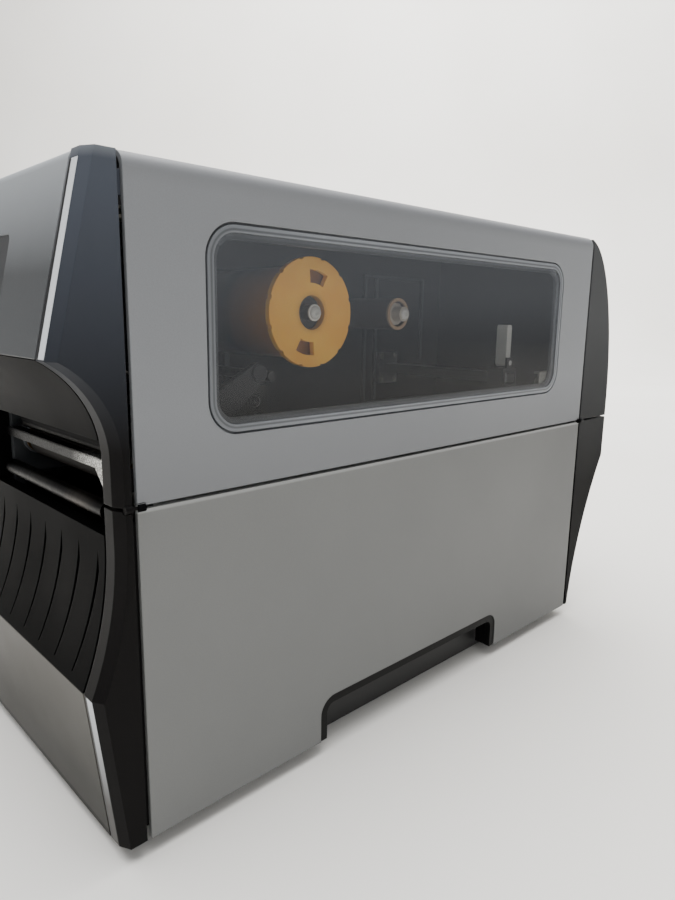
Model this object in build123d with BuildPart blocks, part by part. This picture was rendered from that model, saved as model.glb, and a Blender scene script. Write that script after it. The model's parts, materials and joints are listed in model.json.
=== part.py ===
from build123d import *
from math import acos, asin, atan2, copysign, cos, degrees, radians, sin, sqrt
import os

# Industrial label printer with a two-piece folding side door.
# X runs across the machine towards the door, Y from the front to the rear, Z up, in millimetres.
# The origin is the middle of the footprint, on the surface that the feet stand on.

# Overall size
overall_length = 488.0
overall_width = 269.0
top_z = 324.0
fold_lug_radius = 1.8

front_y = -overall_length / 2
rear_y = overall_length / 2
left_x = -overall_width / 2
side_x = overall_width / 2 - fold_lug_radius

# Front outline, seen from the side: leaning face, chin, round exit hollow, waist, apron, crease, skirt
face_lean = 19.8
exit_radius = 50.0
exit_tangent_drop = 127.2
waist_depth = 25.0
apron_radius = 178.0
apron_tangent_drop = 165.5
crease_drop = 235.2
skirt_lean = 9.0
skirt_z = 8.5
face_corner_radius = 6.0

exit_tangent_z = top_z - exit_tangent_drop
apron_tangent_z = top_z - apron_tangent_drop
crease_z = top_z - crease_drop

# Rear outline: elliptic crown, straight back, hollow taper down to a narrow foot
crown_depth = 55.4
crown_base_drop = 139.0
taper_top_drop = 184.0
tail_depth = 43.0
taper_hollow = 7.5
rear_vent_x = 40.0
rear_vent_pitch = 9.0
rear_vent_count = 10
rear_vent_length = 32.0
rear_vent_width = 4.0

crown_base_z = top_z - crown_base_drop
taper_top_z = top_z - taper_top_drop

# Side panels and the grooves around them
panel_front_inset = 33.8
panel_rear_inset = 50.3
panel_low_z = 9.0
groove = 2.4
seam_drop = 148.6
seam_half_gap = 0.8
panel_wall = 2.5
panel_corner_radius = 7.0
seam_lip_depth = 8.0
seam_lip_wall = 2.0
seam_lip_inset = 12.0

panel_front_y = front_y + panel_front_inset
panel_rear_y = rear_y - panel_rear_inset
seam_z = top_z - seam_drop

# Door trims and the grey strips on them
trim_depth_x = 14.0
trim_bevel_x = 6.0
trim_bevel_y = 3.2
trim_round = 1.5
trim_wall = 3.0
strip_depth = 1.2
strip_chin_gap = 0.6
strip_top_gap = 4.0
tongue_depth = 9.0
tongue_wall = 2.0
tongue_end_gap = 6.0
top_tongue_gap = 1.0
tongue_root = 1.0
trim_pocket_front = 6.4
upper_pocket_drop = 100.0
lower_pocket_drop = 222.0
door_gap = 1.5

upper_pocket_z = top_z - upper_pocket_drop
lower_pocket_z = top_z - lower_pocket_drop

trim_front_y = panel_front_y - groove
trim_rear_y = panel_rear_y + groove
pan_rear_y = trim_rear_y
trim_inner_x = side_x - trim_depth_x
bevel_x = side_x - trim_bevel_x
body_x = trim_inner_x - door_gap
upper_low_z = seam_z + seam_half_gap
lower_top_z = seam_z - seam_half_gap

# Window in the upper door
window_front_inset = 71.5
window_rear_inset = 93.0
window_low_drop = 121.5
window_top_drop = 23.0
window_radius = 17.0
bezel_gap = 1.2
bezel_width = 6.5
bezel_flange = 4.0
bezel_flange_wall = 2.0
pane_seat_width = 3.0
pane_seat_depth = 1.6
pane_wall = 2.0

window_front_y = front_y + window_front_inset
window_rear_y = rear_y - window_rear_inset
window_low_z = top_z - window_low_drop
window_top_z = top_z - window_top_drop

# Hand grip in the lower door
grip_front_inset = 145.0
grip_rear_inset = 160.0
grip_top_z = 36.5
grip_radius = 11.0
grip_lip = 5.5
grip_lip_recess = 0.6
grip_roof_inset = 2.5
grip_roof_wall = 2.5
liner_flange = 4.0

grip_front_y = front_y + grip_front_inset
grip_rear_y = rear_y - grip_rear_inset

# Catch inside the upper door
catch_inset = 112.0
catch_width = 18.0
catch_top_drop = 105.0
catch_reach = 5.0
catch_wall = 1.5
catch_foot_drop = 134.0
catch_eye_drop = 118.0
catch_eye_radius = 4.0

catch_y = rear_y - catch_inset
catch_top_z = top_z - catch_top_drop
catch_foot_z = top_z - catch_foot_drop
catch_eye_z = top_z - catch_eye_drop

# Body shells
shell_wall = 3.0
cheek_wall = 2.5
cover_corner_radius = 7.0
left_trim_depth_x = 14.0
left_vent_inset = 184.0
left_vent_z = 62.0
left_vent_pitch = 14.0
left_vent_count = 9
left_vent_length = 46.0
left_vent_width = 5.0
trim_top_gap = 1.0
hinge_channel_half = 8.5
left_bevel_x = left_x + trim_bevel_x
left_trim_inner_x = left_x + left_trim_depth_x
cover_inner_x = left_x + panel_wall
touch_gap = 0.1

# Hinge on top
hinge_x = -20.0
hinge_drop = 4.5
hinge_barrel_radius = 3.2
hinge_pin_radius = 1.5
hinge_leaf_wall = 1.5
hinge_leaf_reach = 16.0
moving_leaf_reach = 28.0
hinge_knuckles = 9
hinge_front_inset = 54.0
hinge_rear_inset = 74.0
hinge_knuckle_gap = 0.4
hinge_swing_gap = 0.6
door_edge_offset = 6.5
pin_clearance = 0.05

hinge_z = top_z - hinge_drop
hinge_front_y = front_y + hinge_front_inset
hinge_rear_y = rear_y - hinge_rear_inset

# Fold hinge at the seam
fold_pin_radius = 0.8
fold_lug_length = 3.6
fold_relief = 0.3

# Frame and base
pan_low_z = 4.0
pan_wall = 2.5
pan_left_wall_z = 40.0
pan_right_wall_z = 26.0
pan_front_wall_z = 20.0
pan_front_inset = 23.0
rear_plate_top_drop = 174.0
foot_radius = 12.0
foot_inset_x = 24.0
foot_front_inset = 58.0
foot_rear_inset = 84.0
foot_step = 1.5
foot_recess_radius = 3.5
foot_recess_depth = 2.2
pan_edge_radius = 1.0
frame_x = -24.0
frame_wall = 4.0
frame_front_inset = 34.0
frame_flange = 14.0
frame_flange_wall = 3.0
boss_rise = 4.0
boss_wall = 1.0
wall_rib_insets = (158.0, 144.0, 81.0)
wall_rib_width = 3.0
rib_proud = 2.5
short_rib_rise = 38.0
brace_insets = (184.0, 274.0)
brace_drops = (84.0, 174.0)
brace_width = 4.0
brace_low_z = 20.0
boss_half = 5.0
frame_rib_drop = 142.0
frame_rib_top_drop = 32.0

pan_front_y = front_y + pan_front_inset
rear_plate_top_z = top_z - rear_plate_top_drop
foot_front_y = front_y + foot_front_inset
foot_rear_y = rear_y - foot_rear_inset
frame_front_y = front_y + frame_front_inset
frame_rib_z = top_z - frame_rib_drop
frame_rib_top_z = top_z - frame_rib_top_drop

pan_top_z = pan_low_z + pan_wall
media_x = frame_x + frame_wall
boss_face_x = media_x + boss_rise
rib_front_y, rib_middle_y, rib_rear_y = (rear_y - inset for inset in wall_rib_insets)
frame_top_z = hinge_z - hinge_barrel_radius - 0.3
frame_rear_y = pan_rear_y - pan_wall

# Exit and apron
exit_left_x = -24.0
exit_low_drop = 163.0
exit_top_drop = 119.5
hood_wall = 3.5
front_join_gap = 0.4
apron_return = 7.0
slot_pitch = 20.8
slot_count = 9
slot_first_inset_x = 7.2
slot_top_drop = 171.5
slot_low_drop = 231.0
slot_lean = 8.0
slot_width_top = 2.6
slot_width_low = 1.0
slot_tip = 10.0

exit_low_z = top_z - exit_low_drop
exit_top_z = top_z - exit_top_drop
slot_first_x = body_x - slot_first_inset_x
slot_top_z = top_z - slot_top_drop
slot_low_z = top_z - slot_low_drop

# Control panel on the leaning face
control_left_x = -100.0
control_right_x = 64.0
control_top_drop = 30.0
control_height = 49.0
control_plate_wall = 3.0
control_recess = 0.4
control_radius = 4.0
plate_flange = 3.0
plate_flange_wall = 1.5
display_radius = 2.0
menu_key_radius = 1.8
button_chamfer = 0.5
menu_key_chamfer = 0.4
display_width = 62.0
display_height = 31.0
display_x = -62.0
display_wall = 1.5
round_button_radius = 7.5
menu_key_width = 13.0
menu_key_height = 7.0
button_x = (-8.0, 16.0, 40.0)
round_button_rise = 8.0
menu_key_drop = 14.0
button_proud = 1.6
button_gap = 0.3
button_length = 6.0
button_flange = 1.5
button_flange_wall = 1.0
button_travel = 0.8

control_top_z = top_z - control_top_drop

# Print mechanism
platen_inset = 48.5
platen_drop = 139.5
platen_radius = 9.0
platen_left_gap = 12.0
platen_end_gap = 2.0
shaft_radius = 4.0
platen_shaft_proud = 2.0
bearing_radius = 7.0
bearing_flange_radius = 8.5
bearing_flange_wall = 1.5
side_plate_inset_x = 11.2
side_plate_wall = 3.0
head_gap = 0.3
head_wall = 3.2
carrier_wall = 8.7
carrier_front_inset = 36.0
carrier_rear_inset = 104.0
carrier_fin_count = 5
fin_first = 4.0
fin_pitch = 9.0
fin_wall = 2.5
fin_height = 3.0
head_chamfer = 1.2
head_pivot_inset = 116.0
head_pivot_drop = 120.0
head_pivot_radius = 3.0
head_ear_radius = 6.0
head_ear_wall = 6.0
head_ear_step = 1.0
lever_inset = 92.0
lever_drop = 110.0
cam_throw = 3.5
cam_radius = 4.2
cam_width = 16.0
cam_x = (18.0, 72.0)
lever_arm = 27.0
lever_angle = 35.0
lever_wall = 4.0
lever_knob_radius = 4.5
knob_rim = 1.0
knob_proud = 1.5
tear_bar_drop = 131.7
tear_bar_wall = 1.5
tear_bar_front_inset = 31.4
tear_bar_depth = 6.8
tear_bar_lip = 4.5
gusset_drop = 14.0
gusset_reach = 9.0
guide_bar_inset = 33.0
guide_bar_drop = 155.5
guide_bar_radius = 4.3
bed_low_drop = 174.0
bed_top_drop = 160.0
bed_front_inset = 39.0
bed_rear_inset = 112.0
bed_wall = 2.5

platen_y = front_y + platen_inset
platen_z = top_z - platen_drop
side_plate_x = body_x - side_plate_inset_x
platen_right_x = side_plate_x - platen_end_gap
carrier_front_y = front_y + carrier_front_inset
carrier_rear_y = front_y + carrier_rear_inset
head_pivot_y = front_y + head_pivot_inset
head_pivot_z = top_z - head_pivot_drop
lever_y = front_y + lever_inset
lever_z = top_z - lever_drop
tear_bar_z = top_z - tear_bar_drop
tear_bar_front_y = front_y + tear_bar_front_inset
guide_bar_y = front_y + guide_bar_inset
guide_bar_z = top_z - guide_bar_drop
bed_low_z = top_z - bed_low_drop
bed_top_z = top_z - bed_top_drop
bed_front_y = front_y + bed_front_inset
bed_rear_y = front_y + bed_rear_inset

side_plate_front_inset = 35.0
side_plate_rear_inset = 124.0
side_plate_top_drop = 102.0
side_plate_foot = 14.0
plate_nose_rise = 6.0
plate_nose_reach = 14.0
front_rod_offset = (9.5, 47.5)
rear_rod_offset = (-24.0, -35.0)
carrier_left_gap = 10.0
head_rear_inset = 84.0
handle_gap = 5.0
shaft_tail = 20.0

side_plate_front_y = front_y + side_plate_front_inset
side_plate_rear_y = front_y + side_plate_rear_inset
side_plate_top_z = top_z - side_plate_top_drop
head_rear_y = front_y + head_rear_inset

# Ribbon spindles
takeup_inset = 156.0
takeup_drop = 63.0
takeup_flange_radius = 30.4
takeup_flange_inset_x = 11.2
takeup_flange_wall = 3.5
takeup_hole_radius = 9.5
takeup_drum_radius = 26.0
takeup_drum_gap = 22.0
drum_end_gap = 2.0
spindle_proud = 6.0
takeup_notches = 12
takeup_notch_depth = 0.7
takeup_notch_width = 2.5
takeup_notch_start = 15.0
takeup_slot_radius = 20.0
takeup_slot_swing = 34.0
takeup_slot_width = 7.4
takeup_slot_middle = 77.4
takeup_hub_recess = 4.5
takeup_hub_wall = 4.0
supply_inset = 233.4
supply_drop = 62.8
supply_ring_radius = 10.0
supply_core_radius = 8.0
supply_core_inset = 4.0
supply_core_proud = 2.0
supply_tail = 6.0
supply_collar_gap = 2.0
supply_tip_gap = 1.0
supply_rib_height = 1.0
supply_rib_width = 2.0
supply_rib_end = 4.0
supply_rib_gap = 0.2
supply_core_gap = 20.0
spindle_tip_radius = 4.6

takeup_y = front_y + takeup_inset
takeup_z = top_z - takeup_drop
takeup_flange_x = body_x - takeup_flange_inset_x
drum_end_x = takeup_flange_x - drum_end_gap
spindle_end_x = takeup_flange_x + spindle_proud
supply_y = front_y + supply_inset
supply_z = top_z - supply_drop

# Drive behind the frame
motor_inset = 94.0
motor_drop = 204.0
motor_side = 56.4
motor_length = 50.0
motor_face_gap = 36.0
motor_plate_half = 39.0
motor_plate_low = 34.0
motor_plate_high = 14.0
motor_chamfer = 5.0
motor_bore_depth = 6.0
post_reach = 34.0
post_low = 25.0
post_high = 5.0
post_radius = 3.0
motor_shaft_radius = 2.5
motor_pulley_radius = 8.0
pulley_rim = 1.2
pulley_rim_width = 1.0
pulley_side_gap = 1.5
platen_pulley_radius = 9.0
takeup_pulley_radius = 20.0
belt_width = 8.0
belt_wall = 1.6
belt_gap = 0.3
platen_belt_gap = 16.0
takeup_belt_gap = 29.0

motor_y = front_y + motor_inset
motor_z = top_z - motor_drop

# Media hanger, guide and dancer
hanger_inset = 127.0
hanger_drop = 110.0
hanger_width = 12.0
hanger_height = 8.0
hanger_foot_y = 6.0
hanger_foot_z = 10.0
hanger_foot_wall = 4.0
hanger_chamfer = 1.0
hanger_end_inset_x = 5.2
slider_length = 14.0
slider_wall = 3.0
slider_gap = 0.3
slider_inset = 15.0
guide_arm_width = 6.0
guide_arm_top_drop = 69.5
guide_pivot_radius = 2.0
guide_pivot_drop = 98.5
slider_ear = 2.0
slider_ear_half = 4.0
slider_ear_sink = 1.0
guide_arm_round = 2.0
dancer_inset = 288.0
dancer_drop = 228.0
dancer_arm_length = 42.0
dancer_angle = 150.0
dancer_roller_radius = 6.0
dancer_arm_wall = 4.0
dancer_gap = 0.5
dancer_rim = 1.0
sensor_inset = 128.0
sensor_drop = 134.0
sensor_depth = 17.0
sensor_half = 6.0
sensor_root = 6.0
sensor_slot_half = 2.0
sensor_end_x = 50.0

hanger_y = rear_y - hanger_inset
hanger_z = top_z - hanger_drop
hanger_end_x = body_x - hanger_end_inset_x
slider_x = hanger_end_x - slider_inset
guide_arm_top_z = top_z - guide_arm_top_drop
guide_pivot_z = top_z - guide_pivot_drop
dancer_y = front_y + dancer_inset
dancer_z = top_z - dancer_drop
sensor_y = front_y + sensor_inset
sensor_z = top_z - sensor_drop

# Electronics and rear connections
board_front_inset = 254.0
board_rear_inset = 72.0
board_low_drop = 174.0
board_top_drop = 24.0
board_wall = 1.6
board_standoff = 10.0
standoff_inset = 8.0
standoff_radius = 3.0
supply_box = (74.0, 134.0, 78.0)
supply_left_gap = 1.5
supply_rear_gap = 16.0
supply_vent_pitch = 8.0
supply_vent_count = 12
supply_vent_margin = 20.0
supply_vent_width = 3.5
supply_vent_depth = 1.5
board_items = (
    (14.0, 100.0, 34.0, 30.0, 12.0),
    (60.0, 90.0, 26.0, 26.0, 3.0),
    (100.0, 96.0, 40.0, 14.0, 9.0),
    (20.0, 30.0, 20.0, 44.0, 8.0),
    (54.0, 26.0, 44.0, 12.0, 10.0),
    (110.0, 30.0, 36.0, 36.0, 6.0),
)
bay_left_margin = 20.5
bay_right_margin = 10.0
connector_depth = 13.0
connector_proud = 1.5
connector_wall = 1.2
rocker_pivot_depth = 6.1
rocker_half = 8.6
rocker_side_gap = 0.4
rocker_depth = 4.0
rocker_slope = 2.0
rocker_proud = 7.5
rocker_middle = 6.0
inlet_width = 28.0
inlet_height = 21.0
inlet_pins = ((-7.0, -2.0), (0.0, 3.0), (7.0, -2.0))
inlet_pin_half_width = 1.0
inlet_pin_half_height = 3.0
inlet_pin_end_depth = 8.0
rocker_width = 14.0
rocker_height = 24.0
usb_width = 13.0
usb_height = 12.0
network_width = 17.0
network_height = 14.5
serial_width = 20.0
serial_height = 11.0
rim_width = 2.0
connector_flange = 1.0
connector_back_wall = 2.0
inlet_share = 0.25
inlet_z = 44.0
rocker_share = 0.65
port_shares = (0.175, 0.4625, 0.775)
port_drop = 216.0

board_front_y = front_y + board_front_inset
board_rear_y = rear_y - board_rear_inset
board_low_z = top_z - board_low_drop
board_top_z = top_z - board_top_drop
port_z = top_z - port_drop

shaft_left_x = frame_x - shaft_tail
carrier_left_x = media_x + carrier_left_gap
platen_left_x = media_x + platen_left_gap
handle_x = side_plate_x + handle_gap
takeup_drum_x = media_x + takeup_drum_gap
supply_core_x = media_x + supply_core_gap
motor_face_x = frame_x - motor_face_gap
platen_belt_x = frame_x - platen_belt_gap
takeup_belt_x = frame_x - takeup_belt_gap
ribbon_rods = (
    (platen_y + front_rod_offset[0], platen_z + front_rod_offset[1]),
    (takeup_y + rear_rod_offset[0], takeup_z + rear_rod_offset[1]),
)

# Connectors, side by side in the bay of the rear cover: place, height above the floor, width, height
bay_left = left_x + bay_left_margin
bay_right = frame_x - bay_right_margin
bay_width = bay_right - bay_left
inlet_x = bay_left + inlet_share * bay_width
rocker_x = bay_left + rocker_share * bay_width
rocker_pivot_y = pan_rear_y - rocker_pivot_depth
port_x = [bay_left + share * bay_width for share in port_shares]
rear_cuts = (
    (inlet_x, inlet_z, inlet_width, inlet_height),
    (rocker_x, inlet_z, rocker_width, rocker_height),
    (port_x[0], port_z, usb_width, usb_height),
    (port_x[1], port_z, network_width, network_height),
    (port_x[2], port_z, serial_width, serial_height),
)

waist_y = front_y + waist_depth
exit_centre_y = waist_y - exit_radius
chin_z = exit_tangent_z + sqrt(exit_radius ** 2 - (exit_radius - waist_depth) ** 2)
apron_centre_y = waist_y - apron_radius
crease_y = apron_centre_y + sqrt(apron_radius ** 2 - (apron_tangent_z - crease_z) ** 2)
skirt_y = crease_y + skirt_lean
window_y = (window_front_y + window_rear_y) / 2
window_z = (window_low_z + window_top_z) / 2
window_length = window_rear_y - window_front_y
window_height = window_top_z - window_low_z


def front_at(z):
    """Y of the front outline at a height."""
    if z >= chin_z:
        return front_y + face_lean * (z - chin_z) / (top_z - chin_z)
    if z > exit_tangent_z:
        return exit_centre_y + sqrt(exit_radius ** 2 - (z - exit_tangent_z) ** 2)
    if z >= apron_tangent_z:
        return waist_y
    if z > crease_z:
        return apron_centre_y + sqrt(apron_radius ** 2 - (apron_tangent_z - z) ** 2)
    return crease_y + skirt_lean * (crease_z - z) / (crease_z - skirt_z)


def front_line(low_z, high_z, setback=0.0):
    """Lines and arcs of the front outline between two heights, moved back by a setback."""
    bends = (crease_z, apron_tangent_z, exit_tangent_z, chin_z)
    heights = [low_z] + [z for z in bends if low_z < z < high_z] + [high_z]
    for start, end in zip(heights, heights[1:]):
        middle = (start + end) / 2
        first = (front_at(start) + setback, start)
        last = (front_at(end) + setback, end)
        if crease_z < middle < apron_tangent_z or exit_tangent_z < middle < chin_z:
            ThreePointArc(first, (front_at(middle) + setback, middle), last)
        else:
            Line(first, last)


def front_band(x, low_z, high_z, setback, depth):
    """Section of a shell that follows the front outline."""
    with BuildSketch(Plane.YZ.offset(x)) as band:
        with BuildLine():
            front_line(low_z, high_z, setback)
            front_line(low_z, high_z, setback + depth)
            for z in (low_z, high_z):
                Line((front_at(z) + setback, z), (front_at(z) + setback + depth, z))
        make_face()
    return band.sketch


def front_block(x, low_z, high_z, setback, back_y):
    """Section between the front outline and a straight back."""
    with BuildSketch(Plane.YZ.offset(x)) as block:
        with BuildLine():
            front_line(low_z, high_z, setback)
            Polyline(
                (front_at(low_z) + setback, low_z),
                (back_y, low_z),
                (back_y, high_z),
                (front_at(high_z) + setback, high_z),
            )
        make_face()
    return block.sketch


def rear_block(x, low_z, high_z, inset, front_edge_y):
    """Section between a straight front edge and the rear outline, drawn in by an inset."""
    back_y = rear_y - inset
    crown_height = top_z - inset - crown_base_z
    crown = crown_depth - inset
    crown_y = back_y - crown
    tail_y = rear_y - tail_depth - inset
    full_turn = acos((front_edge_y - crown_y) / crown)
    low_turn = asin(max(low_z - crown_base_z, 0.0) / crown_height)
    high_turn = min(full_turn, asin(min(max(high_z - crown_base_z, 0.0) / crown_height, 1.0)))
    with BuildSketch(Plane.YZ.offset(x)) as block:
        with BuildLine():
            if low_z < taper_top_z:
                middle_y = (back_y + tail_y) / 2 - taper_hollow
                middle_z = (taper_top_z + panel_low_z) / 2
                ThreePointArc((tail_y, low_z), (middle_y, middle_z), (back_y, taper_top_z))
                Line((front_edge_y, low_z), (tail_y, low_z))
            else:
                Line((front_edge_y, low_z), (crown_y + crown * cos(low_turn), low_z))
            if low_z < crown_base_z:
                Line((back_y, max(low_z, taper_top_z)), (back_y, min(high_z, crown_base_z)))
            if high_z > crown_base_z:
                EllipticalCenterArc(
                    (crown_y, crown_base_z),
                    crown,
                    crown_height,
                    start_angle=degrees(low_turn),
                    arc_size=degrees(high_turn - low_turn),
                )
            reached = (crown_y + crown * cos(high_turn), min(high_z, crown_base_z + crown_height * sin(high_turn)))
            if high_turn < full_turn:
                Line(reached, (front_edge_y, reached[1]))
            Line((front_edge_y, reached[1]), (front_edge_y, low_z))
        make_face()
    return block.sketch


def corner_section(edge_x, outer_x, low_z, wall, radius):
    """L section of a cover: a flat top, a round corner and a flat side."""
    way = 1 if outer_x > edge_x else -1
    with BuildSketch(Plane.XZ.offset(-panel_rear_y)) as section:
        with BuildLine():
            Line((edge_x, top_z), (outer_x - way * radius, top_z))
            TangentArc((outer_x - way * radius, top_z), (outer_x, top_z - radius), tangent=(way, 0))
            Polyline((outer_x, top_z - radius), (outer_x, low_z), (outer_x - way * wall, low_z))
            Line((outer_x - way * wall, low_z), (outer_x - way * wall, top_z - radius))
            TangentArc(
                (outer_x - way * radius, top_z - wall), (outer_x - way * wall, top_z - radius), tangent=(
                    way, 0
                )
            )
            Polyline((outer_x - way * radius, top_z - wall), (edge_x, top_z - wall), (edge_x, top_z))
        make_face()
    return section.sketch


def block(low, high, mode=Mode.ADD):
    """Box between two corners, in the part that is being built."""
    centre = tuple((a + b) / 2 for a, b in zip(low, high))
    size = tuple(b - a for a, b in zip(low, high))
    with Locations(centre):
        Box(*size, mode=mode)


def rod_x(x_from, x_to, y, z, radius, mode=Mode.ADD):
    """Round bar along X, in the part that is being built."""
    with Locations(Location(((x_from + x_to) / 2, y, z), (0, 90, 0))):
        Cylinder(radius, x_to - x_from, mode=mode)


def rod_y(y_from, y_to, x, z, radius, mode=Mode.ADD):
    """Round bar along Y, in the part that is being built."""
    with Locations(Location((x, (y_from + y_to) / 2, z), (90, 0, 0))):
        Cylinder(radius, y_to - y_from, mode=mode)


def save(piece, name):
    """Label a finished sub-part and write its file."""
    piece.part.label = name
    export_step(piece.part, f"parts/{name}.step")


def grip_outline(x, inset, low_z):
    """Open-bottomed grip outline, drawn in by an inset and closed at a low height."""
    radius = grip_radius - inset
    with BuildSketch(Plane.YZ.offset(x)) as outline:
        with BuildLine():
            FilletPolyline(
                (grip_front_y + inset, low_z),
                (grip_front_y + inset, grip_top_z - inset),
                (grip_rear_y - inset, grip_top_z - inset),
                (grip_rear_y - inset, low_z),
                radius=radius,
            )
            Line((grip_rear_y - inset, low_z), (grip_front_y + inset, low_z))
        make_face()
    return outline.sketch


def window_outline(x, inset):
    """Rounded window outline, drawn in by an inset."""
    with BuildSketch(Plane.YZ.offset(x)) as outline:
        with Locations((window_y, window_z)):
            RectangleRounded(window_length - 2 * inset, window_height - 2 * inset, window_radius - inset)
    return outline.sketch


def ring_sector(x, centre, inner, outer, start, end):
    """Piece of a ring between two radii and two angles in degrees."""

    def at(radius, angle):
        return (centre[0] + radius * cos(radians(angle)), centre[1] + radius * sin(radians(angle)))

    middle = (start + end) / 2
    with BuildSketch(Plane.YZ.offset(x)) as sector:
        with BuildLine():
            ThreePointArc(at(inner, start), at(inner, middle), at(inner, end))
            ThreePointArc(at(outer, start), at(outer, middle), at(outer, end))
            Line(at(inner, start), at(outer, start))
            Line(at(inner, end), at(outer, end))
        make_face()
    return sector.sketch


os.makedirs("parts", exist_ok=True)

# Base pan: a folded steel tray with a tall rear plate for the connectors
with BuildPart() as base_pan:
    pan_left_x = cover_inner_x
    rear_plate_x = pan_left_x + tongue_wall + touch_gap
    block((pan_left_x, pan_front_y, pan_low_z), (body_x, pan_rear_y, pan_top_z))
    block((pan_left_x, panel_front_y, pan_low_z), (pan_left_x + pan_wall, pan_rear_y, pan_left_wall_z))
    block((body_x - pan_wall, panel_front_y, pan_low_z), (body_x, pan_rear_y, pan_right_wall_z))
    block(
        (left_trim_inner_x + touch_gap, pan_front_y, pan_low_z),
        (body_x, pan_front_y + pan_wall, pan_front_wall_z),
    )
    block(
        (rear_plate_x, pan_rear_y - pan_wall, pan_low_z),
        (frame_x - frame_flange, pan_rear_y, rear_plate_top_z),
    )
    block((frame_x - frame_flange, pan_rear_y - pan_wall, pan_low_z), (body_x, pan_rear_y, pan_left_wall_z))
    fillet(
        base_pan.edges().filter_by(Axis.Z).filter_by_position(
            Axis.X, body_x - pan_edge_radius, body_x + pan_edge_radius
        ),
        pan_edge_radius,
    )
    with BuildSketch(Plane.XZ.offset(-pan_rear_y)):
        for cut_x, cut_z, cut_width, cut_height in rear_cuts:
            with Locations((cut_x, cut_z)):
                Rectangle(cut_width, cut_height)
    extrude(amount=pan_wall, mode=Mode.SUBTRACT)
save(base_pan, "base_pan")

# Rubber feet: turned pads with a screw recess
foot_places = [
    (x, y) for x in (left_x + foot_inset_x, body_x - foot_inset_x) for y in (foot_front_y, foot_rear_y)
]
with BuildPart() as rubber_feet:
    with BuildSketch():
        with Locations(*foot_places):
            Circle(foot_radius - foot_step)
    extrude(amount=foot_step)
    with BuildSketch(Plane.XY.offset(foot_step)):
        with Locations(*foot_places):
            Circle(foot_radius)
    extrude(amount=pan_low_z - foot_step)
    with BuildSketch():
        with Locations(*foot_places):
            Circle(foot_recess_radius)
    extrude(amount=foot_recess_depth, mode=Mode.SUBTRACT)
save(rubber_feet, "rubber_feet")

# Centre frame: cast wall between the media side and the electronics side
bearing_places = ((platen_y, platen_z), (takeup_y, takeup_z), (supply_y, supply_z))
with BuildPart() as centre_frame:
    block((frame_x, frame_front_y, pan_top_z), (media_x, frame_rear_y, frame_top_z))
    flange_left_x = frame_x - frame_flange
    block((flange_left_x, frame_front_y, pan_top_z), (frame_x, frame_rear_y, pan_top_z + frame_flange_wall))
    block(
        (flange_left_x, frame_front_y, frame_top_z - frame_flange_wall),
        (frame_x, frame_rear_y, frame_top_z),
    )
    block(
        (flange_left_x, frame_front_y, pan_top_z),
        (frame_x, frame_front_y + frame_flange_wall, frame_top_z),
    )
    ribs = [
        (rib_front_y, wall_rib_width, frame_rib_z, frame_rib_top_z),
        (rib_middle_y, wall_rib_width, frame_rib_z, frame_rib_top_z),
        (rib_rear_y, wall_rib_width, frame_rib_z + short_rib_rise, frame_rib_top_z),
    ]
    for brace_inset, brace_drop in zip(brace_insets, brace_drops):
        ribs.append((front_y + brace_inset, brace_width, brace_low_z, top_z - brace_drop))
    for rib_y, rib_width, low_z, high_z in ribs:
        block((media_x, rib_y, low_z), (media_x + rib_proud, rib_y + rib_width, high_z))
    for rib_z in (frame_rib_z, frame_rib_top_z):
        block(
            (media_x, rib_front_y, rib_z),
            (media_x + rib_proud, rib_rear_y + wall_rib_width, rib_z + wall_rib_width),
        )
    for y, z in bearing_places:
        rod_x(media_x, boss_face_x, y, z, bearing_flange_radius + boss_wall)
        rod_x(frame_x, boss_face_x, y, z, bearing_radius + pin_clearance, mode=Mode.SUBTRACT)
    for y, z in ((lever_y, lever_z), (dancer_y, dancer_z)):
        rod_x(frame_x, media_x, y, z, shaft_radius + pin_clearance, mode=Mode.SUBTRACT)
save(centre_frame, "centre_frame")

# Left cover: one bent sheet, folded down at the hinge channel
with BuildPart() as left_cover:
    cover_edge_x = hinge_x - hinge_channel_half
    cover_length = panel_rear_y - panel_front_y
    extrude(
        corner_section(cover_edge_x, left_x, panel_low_z, panel_wall, cover_corner_radius), amount=cover_length
    )
    lip_low_z = frame_top_z + hinge_leaf_wall
    block(
        (cover_edge_x - panel_wall, panel_front_y, lip_low_z),
        (cover_edge_x, panel_rear_y, top_z - panel_wall),
    )
    with BuildSketch(Plane.YZ.offset(left_x)):
        with Locations((rear_y - left_vent_inset, left_vent_z)):
            with GridLocations(left_vent_pitch, 0, left_vent_count, 1):
                SlotOverall(left_vent_length, left_vent_width, rotation=90)
    extrude(amount=panel_wall, mode=Mode.SUBTRACT)
save(left_cover, "left_cover")


def trim_body(inner_x, bevel_edge_x, outer_x, low_z, high_z):
    """Front trim: full outline inside, drawn back at the bevelled outer face."""
    extrude(front_block(inner_x, low_z, high_z, 0.0, trim_front_y), amount=bevel_edge_x - inner_x)
    loft(
        [
            front_block(bevel_edge_x, low_z, high_z, 0.0, trim_front_y),
            front_block(outer_x, low_z, high_z, trim_bevel_y, trim_front_y),
        ],
        ruled=True,
    )


def rear_trim_body(inner_x, outer_x, low_z, high_z):
    """Rear trim: full outline inside, drawn in a little at the outer face."""
    round_x = outer_x - copysign(trim_round, outer_x - inner_x)
    extrude(rear_block(inner_x, low_z, high_z, 0.0, trim_rear_y), amount=round_x - inner_x)
    loft(
        [
            rear_block(round_x, low_z, high_z, 0.0, trim_rear_y),
            rear_block(outer_x, low_z, high_z, trim_round, trim_rear_y),
        ],
        ruled=True,
    )


trim_top_z = top_z - trim_top_gap

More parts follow.
